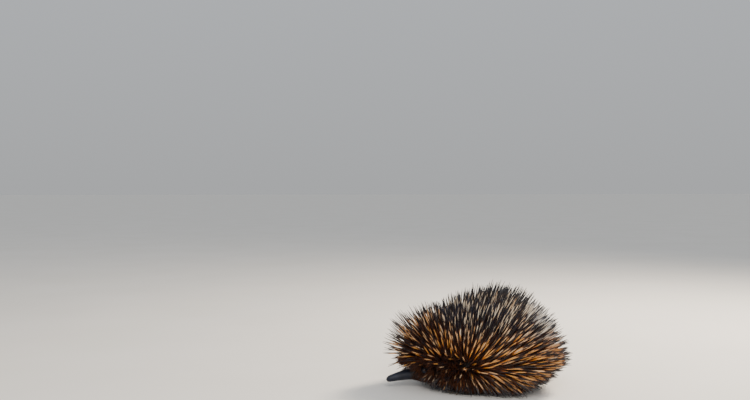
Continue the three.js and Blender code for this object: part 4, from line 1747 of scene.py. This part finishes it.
def claw_nodes(tree: bpy.types.NodeTree) -> Sockets:
    """Horn: dark grey-brown, paler and worn at the tip, with growth lines across.

    Args:
        tree: the material's node tree.

    Returns:
        Sockets by the shader's inputs.
    """
    along = add_node(tree, "ShaderNodeAttribute", {"attribute_name": "along"}).outputs["Fac"]
    colour = add_node(tree, "ShaderNodeValToRGB", {"stops": WORN_HORN}, {"Fac": along}).outputs[0]
    # Growth lines are about 0.3 mm apart on a real claw; they are drawn at 1.4 mm, so that they show.
    return textured(tree, colour, 1.4, (0.75, 1.2), 0.3)


def floor_nodes(tree: bpy.types.NodeTree) -> Sockets:
    """Matt studio floor in a pale warm grey.

    Args:
        tree: the material's node tree.

    Returns:
        Sockets by the shader's inputs.
    """
    place = add_node(tree, "ShaderNodeTexCoord").outputs["Object"]
    clouds = {"Scale": cells(330), "Detail": 2.0, "Vector": place}
    shade = add_node(tree, "ShaderNodeTexNoise", inputs=clouds).outputs["Fac"]
    paper = add_node(tree, "ShaderNodeValToRGB", {"stops": PALE_FLOOR}, {"Fac": shade})
    return {"Base Color": paper.outputs[0]}


# Keratin grown in a sheath and worn smooth: a narrow gloss along each shaft tells it from the hair.
SPINE_KERATIN = Finish("Spine keratin, grown and worn", 0.31, spine_nodes, ior=1.55)
# Coarse hair with a scaly surface: a broad, weak sheen, so that the spines stand out against it.
COARSE_HAIR = Finish("Coarse body hair", 0.52, hair_nodes, ior=1.42)
# Bare leathery skin with fine grain: a satin that breaks up over the folds of the beak.
BARE_HIDE = Finish("Hide and bare beak skin", 0.46, skin_nodes, ior=1.42)
# Gristle under thin dry skin: almost matt, so that the cup looks soft.
EAR_GRISTLE = Finish("Ear gristle under skin", 0.58, ear_nodes, ior=1.42)
# Cornea under a film of tears: a clear mirror over near black, which catches one small light.
WET_EYE = Finish("Wet eye", 0.12, eye_nodes, ior=1.38, coat=1.0)
# Horn grown in layers and worn by digging: satin, rubbed pale at the tip.
CLAW_HORN = Finish("Claw horn", 0.34, claw_nodes, ior=1.54)
# Matt paper: no gloss, so that it shows only the soft shadow.
STUDIO_FLOOR = Finish("Studio floor, matt", 0.85, floor_nodes)


def vertices(mesh: bpy.types.Mesh) -> np.ndarray:
    """Reads a mesh's points.

    Args:
        mesh: the mesh.

    Returns:
        Array (points, 3), in metres.
    """
    spots = np.empty(len(mesh.vertices) * 3, np.float32)
    mesh.vertices.foreach_get("co", spots)
    return spots.reshape(-1, 3)


def carry(mesh: bpy.types.Mesh, values: dict[str, np.ndarray]) -> None:
    """Writes named numbers on a mesh's points.

    Args:
        mesh: the mesh.
        values: the numbers, one a point.
    """
    for key, numbers in values.items():
        layer = mesh.attributes.get(key) or mesh.attributes.new(key, "FLOAT", "POINT")
        layer.data.foreach_set("value", np.asarray(numbers, np.float32))


@dataclass
class Workshop:
    """Turns shapes into Blender pieces in the frame's place."""

    shift: np.ndarray
    materials: dict[str, bpy.types.Material] = field(default_factory=dict)

    def finish(self, finish: Finish) -> bpy.types.Material:
        """The material of a finish, made once.

        Args:
            finish: the finish.

        Returns:
            The material.
        """
        if finish.name not in self.materials:
            self.materials[finish.name] = finish.material()
        return self.materials[finish.name]

    def piece(self, name: str, shape: Shape, finish: Finish) -> bpy.types.Object:
        """A mesh object from a shape, smooth shaded, with its values and bake map.

        Args:
            name: the piece's name.
            shape: its surface, in millimetres.
            finish: its material.

        Returns:
            The object, at the origin.
        """
        mesh = bpy.data.meshes.new(name)
        faces = len(shape.quads) + len(shape.tris)
        corners = np.concatenate([shape.quads.ravel(), shape.tris.ravel()]).astype(np.int32)
        totals = np.repeat([4, 3], [len(shape.quads), len(shape.tris)]).astype(np.int32)
        mesh.vertices.add(len(shape.points))
        mesh.vertices.foreach_set("co", ((shape.points + self.shift) * MM).astype(np.float32).ravel())
        mesh.loops.add(len(corners))
        mesh.loops.foreach_set("vertex_index", corners)
        mesh.polygons.add(faces)
        mesh.polygons.foreach_set("loop_start", (np.cumsum(totals) - totals).astype(np.int32))
        mesh.polygons.foreach_set("loop_total", totals)
        mesh.polygons.foreach_set("use_smooth", np.ones(faces, bool))
        carry(mesh, shape.values)
        if shape.patch is not None:
            layer = mesh.uv_layers.new(name="OFBake")
            layer.data.foreach_set("uv", shape.patch[corners].astype(np.float32).ravel())
        mesh.update(calc_edges=True)
        mesh.validate()
        mesh.materials.append(self.finish(finish))
        made = bpy.data.objects.new(name, mesh)
        bpy.context.scene.collection.objects.link(made)
        return made

    def fixed(self, piece: bpy.types.Object) -> bpy.types.Object:
        """Works a piece's modifiers into its mesh.

        Args:
            piece: the piece.

        Returns:
            The same piece, without modifiers.
        """
        graph = bpy.context.evaluated_depsgraph_get()
        mesh = bpy.data.meshes.new_from_object(piece.evaluated_get(graph))
        piece.modifiers.clear()
        piece.data = mesh
        return piece

    def settle(self, piece: bpy.types.Object, slot: Slot, *nodes: str) -> bpy.types.Object:
        """Makes a piece ride on the body and stand for nodes of the model.

        Args:
            piece: the piece.
            slot: not used.
            nodes: names of the nodes that it replaces, if any.

        Returns:
            The same piece.
        """
        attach(piece, BODY)
        if nodes:
            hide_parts(*nodes)
        piece.data.calc_loop_triangles()
        LOG.info("%s: %d triangles", piece.name, len(piece.data.loop_triangles))
        return piece


@dataclass(frozen=True)
class Skin:
    """One skin for the whole animal, from the beak's tip to the tail's."""

    trunk: Trunk
    head: Head
    voxel: float = 2.3
    smoothing: float = 0.5
    smoothing_rounds: int = 5

    def build(self, shop: Workshop) -> bpy.types.Object:
        """Trunk, tail and limbs remeshed and smoothed as one, then fused with the fine head and lids.

        Args:
            shop: the workshop.

        Returns:
            The skin.
        """
        flesh = [self.trunk.shape(), Tail().shape()]
        for limb in (FRONT_LIMB, HIND_LIMB):
            for side in SIDES.values():
                flesh += limb.flesh(side)
        skin = shop.piece("skin", joined(flesh), BARE_HIDE)
        remesh = skin.modifiers.new("Remesh", "REMESH")
        remesh.mode = "VOXEL"
        remesh.voxel_size = self.voxel * MM
        smoothing = skin.modifiers.new("Smooth", "SMOOTH")
        smoothing.factor = self.smoothing
        smoothing.iterations = self.smoothing_rounds
        shop.fixed(skin)
        self.press(skin, shop.shift)
        for shape in (self.head.shape(), self.head.lid(1.0), self.head.lid(-1.0)):
            part = shop.piece("part of the head", shape, BARE_HIDE)
            union = skin.modifiers.new("Fuse", "BOOLEAN")
            union.operation = "UNION"
            union.solver = "MANIFOLD"
            union.object = part
            shop.fixed(skin)
            bpy.data.objects.remove(part)
        self.mark(shop, skin)
        return skin

    def press(self, skin: bpy.types.Object, shift: np.ndarray) -> None:
        """Presses the soles flat on the floor and the hollow of each ear into the cheek.

        Args:
            skin: the skin, changed in place.
            shift: offset of the animal in the frame, in millimetres.
        """
        spots = vertices(skin.data)
        spots[:, 2] = np.maximum(spots[:, 2], 0)
        spots = (self.head.hollowed(spots / MM - shift) + shift) * MM
        skin.data.vertices.foreach_set("co", spots.astype(np.float32).ravel())

    def mark(self, shop: Workshop, skin: bpy.types.Object) -> None:
        """Marks the bare skin of beak and lids and the soles from 0 to 1, and shades the skin smooth.

        Args:
            shop: the workshop.
            skin: the skin, changed in place.
        """
        mesh = skin.data
        spots = vertices(mesh) / MM - shop.shift
        lids = smooth(9.5, 6.5, np.linalg.norm(on_left(spots) - np.array(self.head.eye), axis=1))
        beak = smooth(-163, -171, spots[:, 1]) * smooth(46, 42, spots[:, 2])
        sole = smooth(2.5, 0.6, spots[:, 2])
        carry(mesh, {"bare": np.maximum(beak, lids), "sole": sole, "warm": Markings.warmth(spots)})
        mesh.polygons.foreach_set("use_smooth", np.ones(len(mesh.polygons), bool))


@dataclass(frozen=True)
class Studio:
    """Camera at the photograph's place, pale floor and soft light."""

    focal_pixels: float = 800.0
    frame_pixels: tuple[int, int] = (750, 400)
    horizon_row: float = 187.0
    height: float = 385.0
    ahead: float = 1560.0
    aside: float = 231.0
    turn: float = 10.0
    sensor: float = 36.0
    floor_half: float = 40000.0
    sky: tuple[str, str] = ("#ccced0", "#e6ebf2")
    sky_strength: float = 0.76
    aim: tuple[float, float, float] = (0, 0, 0.06)

    def camera(self, shift: np.ndarray) -> bpy.types.Object:
        """Low camera, aimed a degree down and turned a little back along the animal's left side.

        Args:
            shift: offset of the animal in the frame, in millimetres.

        Returns:
            The camera.
        """
        turn = math.radians(self.turn)
        c, s = math.cos(turn), math.sin(turn)
        place = [self.ahead * c - self.aside * s, -self.aside * c - self.ahead * s, self.height]
        pitch = math.atan((self.frame_pixels[1] / 2 - self.horizon_row) / self.focal_pixels)
        right = Vector((s, c, 0))
        forward = Vector((-c, s, 0)) * math.cos(pitch) - Vector((0, 0, 1)) * math.sin(pitch)
        up = right.cross(forward)
        data = bpy.data.cameras.new("camera")
        data.sensor_width = self.sensor
        data.lens = self.sensor * self.focal_pixels / self.frame_pixels[0]
        camera = bpy.data.objects.new("camera", data)
        turned = Matrix((right, up, -forward)).transposed().to_4x4()
        camera.matrix_world = Matrix.Translation(Vector((np.array(place) + shift) * MM)) @ turned
        bpy.context.scene.collection.objects.link(camera)
        bpy.context.scene.camera = camera
        return camera

    def light(self, name: str, place: tuple, size: float, watts: float, colour: str) -> None:
        """Adds a square soft light that faces the animal.

        Args:
            name: its name.
            place: its place in metres.
            size: its side in metres.
            watts: its power.
            colour: its sRGB colour.
        """
        data = bpy.data.lights.new(name, "AREA")
        data.size = size
        data.energy = watts
        data.color = hex_linear(colour)[:3]
        lamp = bpy.data.objects.new(name, data)
        lamp.location = place
        aim = Vector(self.aim) - Vector(place)
        lamp.rotation_euler = aim.to_track_quat("-Z", "Y").to_euler()
        bpy.context.scene.collection.objects.link(lamp)

    def build(self, shop: Workshop) -> None:
        """Floor, world and lights: the key stands behind the tail to the animal's left.

        Args:
            shop: the workshop.
        """
        half = self.floor_half
        corners = np.array([[-half, -half, 0], [half, -half, 0], [half, half, 0], [-half, half, 0]])
        floor = shop.piece("floor", Shape(corners, np.array([[0, 1, 2, 3]])), STUDIO_FLOOR)
        world = bpy.data.worlds.new("studio")
        world.use_nodes = True
        tree = world.node_tree
        way = add_node(tree, "ShaderNodeTexCoord").outputs["Generated"]
        height = add_node(tree, "ShaderNodeSeparateXYZ", inputs={0: way}).outputs["Z"]
        share = add_node(tree, "ShaderNodeMapRange", inputs={0: height, 1: 0.0, 2: 0.5}).outputs[0]
        low, high = (hex_linear(code) for code in self.sky)
        background = tree.nodes["Background"]
        tree.links.new(layered(tree, low, [(share, high)]), background.inputs["Color"])
        background.inputs["Strength"].default_value = self.sky_strength
        bpy.context.scene.world = world
        self.light("key", (-0.55, 1.35, 1.6), 0.5, 84, "#fff1de")
        self.light("fill", (1.9, -0.3, 1.5), 1.1, 33, "#f6f2ee")


@dataclass
class Echidna:
    """The whole animal."""

    shop: Workshop
    trunk: Trunk = field(default_factory=Trunk)
    head: Head = field(default_factory=Head)

    def build(self) -> None:
        """Builds and dresses every piece in order."""
        self.flesh()
        self.face()
        self.claws()
        self.coat()

    def flesh(self) -> None:
        """The skin, which stands for every node of flesh."""
        ends = [f"{limb.name}_{side}" for limb in (FRONT_LIMB, HIND_LIMB) for side in SIDES]
        limbs = [f"{part}_{end}" for part in ("leg", "foot") for end in ends]
        skin = Skin(self.trunk, self.head).build(self.shop)
        self.shop.settle(skin, Slot.BEAK, "head", "neck", "torso", "tail", "beak", *limbs)

    def face(self) -> None:
        """Eyes and ears."""
        for side, sign in SIDES.items():
            eye = self.shop.piece(f"eyeball_{side}", self.head.eyeball(sign), WET_EYE)
            self.shop.settle(eye, Slot.EYE, f"eye_{side}")
            ear = self.shop.piece(f"ear_cup_{side}", self.head.ear_cup(sign), EAR_GRISTLE)
            self.shop.settle(ear, Slot.FUR, f"ear_{side}")

    def claws(self) -> None:
        """Twenty claws, one piece each."""
        for limb in (FRONT_LIMB, HIND_LIMB):
            for side, sign in SIDES.items():
                for toe in range(len(limb.claws)):
                    tag = f"{limb.name}_{side}_{toe + 1}"
                    claw = self.shop.piece(f"horn_{tag}", limb.claw(sign, toe), CLAW_HORN)
                    self.shop.settle(claw, Slot.CLAW, f"claw_{tag}")

    def coat(self) -> None:
        """Spines and hair, shared out over pieces that stay under the limit of faces."""
        coat = Coat(self.trunk, self.head)
        self.strands("spines", coat.parted(coat.spines()), SPINE_TAPER, SPINE_KERATIN, Slot.COAT)
        self.strands("bristles", coat.parted(coat.bristles()), BRISTLE_TAPER, SPINE_KERATIN, Slot.COAT)
        long = {"trunk": coat.trunk_hair(), "fringe": coat.fringe_hair(), "hood": coat.hood_hair()}
        for name, hair in long.items():
            self.strands(f"hair_{name}", coat.trimmed(hair), LONG_HAIR_TAPER, COARSE_HAIR, Slot.FUR)
        short = {"hair_head": coat.trimmed(coat.head_hair()), "hair_tail": coat.tail_hair()}
        for limb in (FRONT_LIMB, HIND_LIMB):
            for side, sign in SIDES.items():
                short[f"hair_leg_{limb.name}_{side}"] = coat.limb_hair(limb, sign)
        for name, hair in short.items():
            self.strands(name, hair, SHORT_HAIR_TAPER, COARSE_HAIR, Slot.FUR)

    def strands(
        self,
        name: str,
        strands: Strands,
        taper: Taper,
        finish: Finish,
        slot: Slot,
        limit: int = 190_000,
    ) -> None:
        """Pieces of strands, shared out from front to back under a limit of triangles.

        Args:
            name: name of the pieces, numbered if several.
            strands: the strands.
            taper: how they are drawn.
            finish: their material.
            slot: their slot.
            limit: most triangles of a piece.
        """
        each = 2 * taper.sides * len(taper.steps) - 2
        pieces = math.ceil(len(strands.root) * each / limit)
        rank = np.argsort(np.argsort(strands.root[:, 1]))
        share = rank * pieces // len(rank)
        for index in range(pieces):
            tag = name if pieces == 1 else f"{name}_{index + 1}"
            shape = strands.chosen(share == index).shape(taper)
            self.shop.settle(self.shop.piece(tag, shape, finish), slot)


def main() -> None:
    """Loads the frame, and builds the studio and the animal."""
    logging.basicConfig(level=logging.INFO, format="%(name)s: %(message)s")
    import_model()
    head = Head()
    low, high = (np.array(corner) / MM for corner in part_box("eye_left"))
    shift = (low + high) / 2 - np.array(head.eye)
    LOG.info("the animal stands %s mm from its own axes", np.round(shift, 2))
    shop = Workshop(shift)
    studio = Studio()
    studio.camera(shift)
    studio.build(shop)
    Echidna(shop).build()


if __name__ == "__main__":
    main()
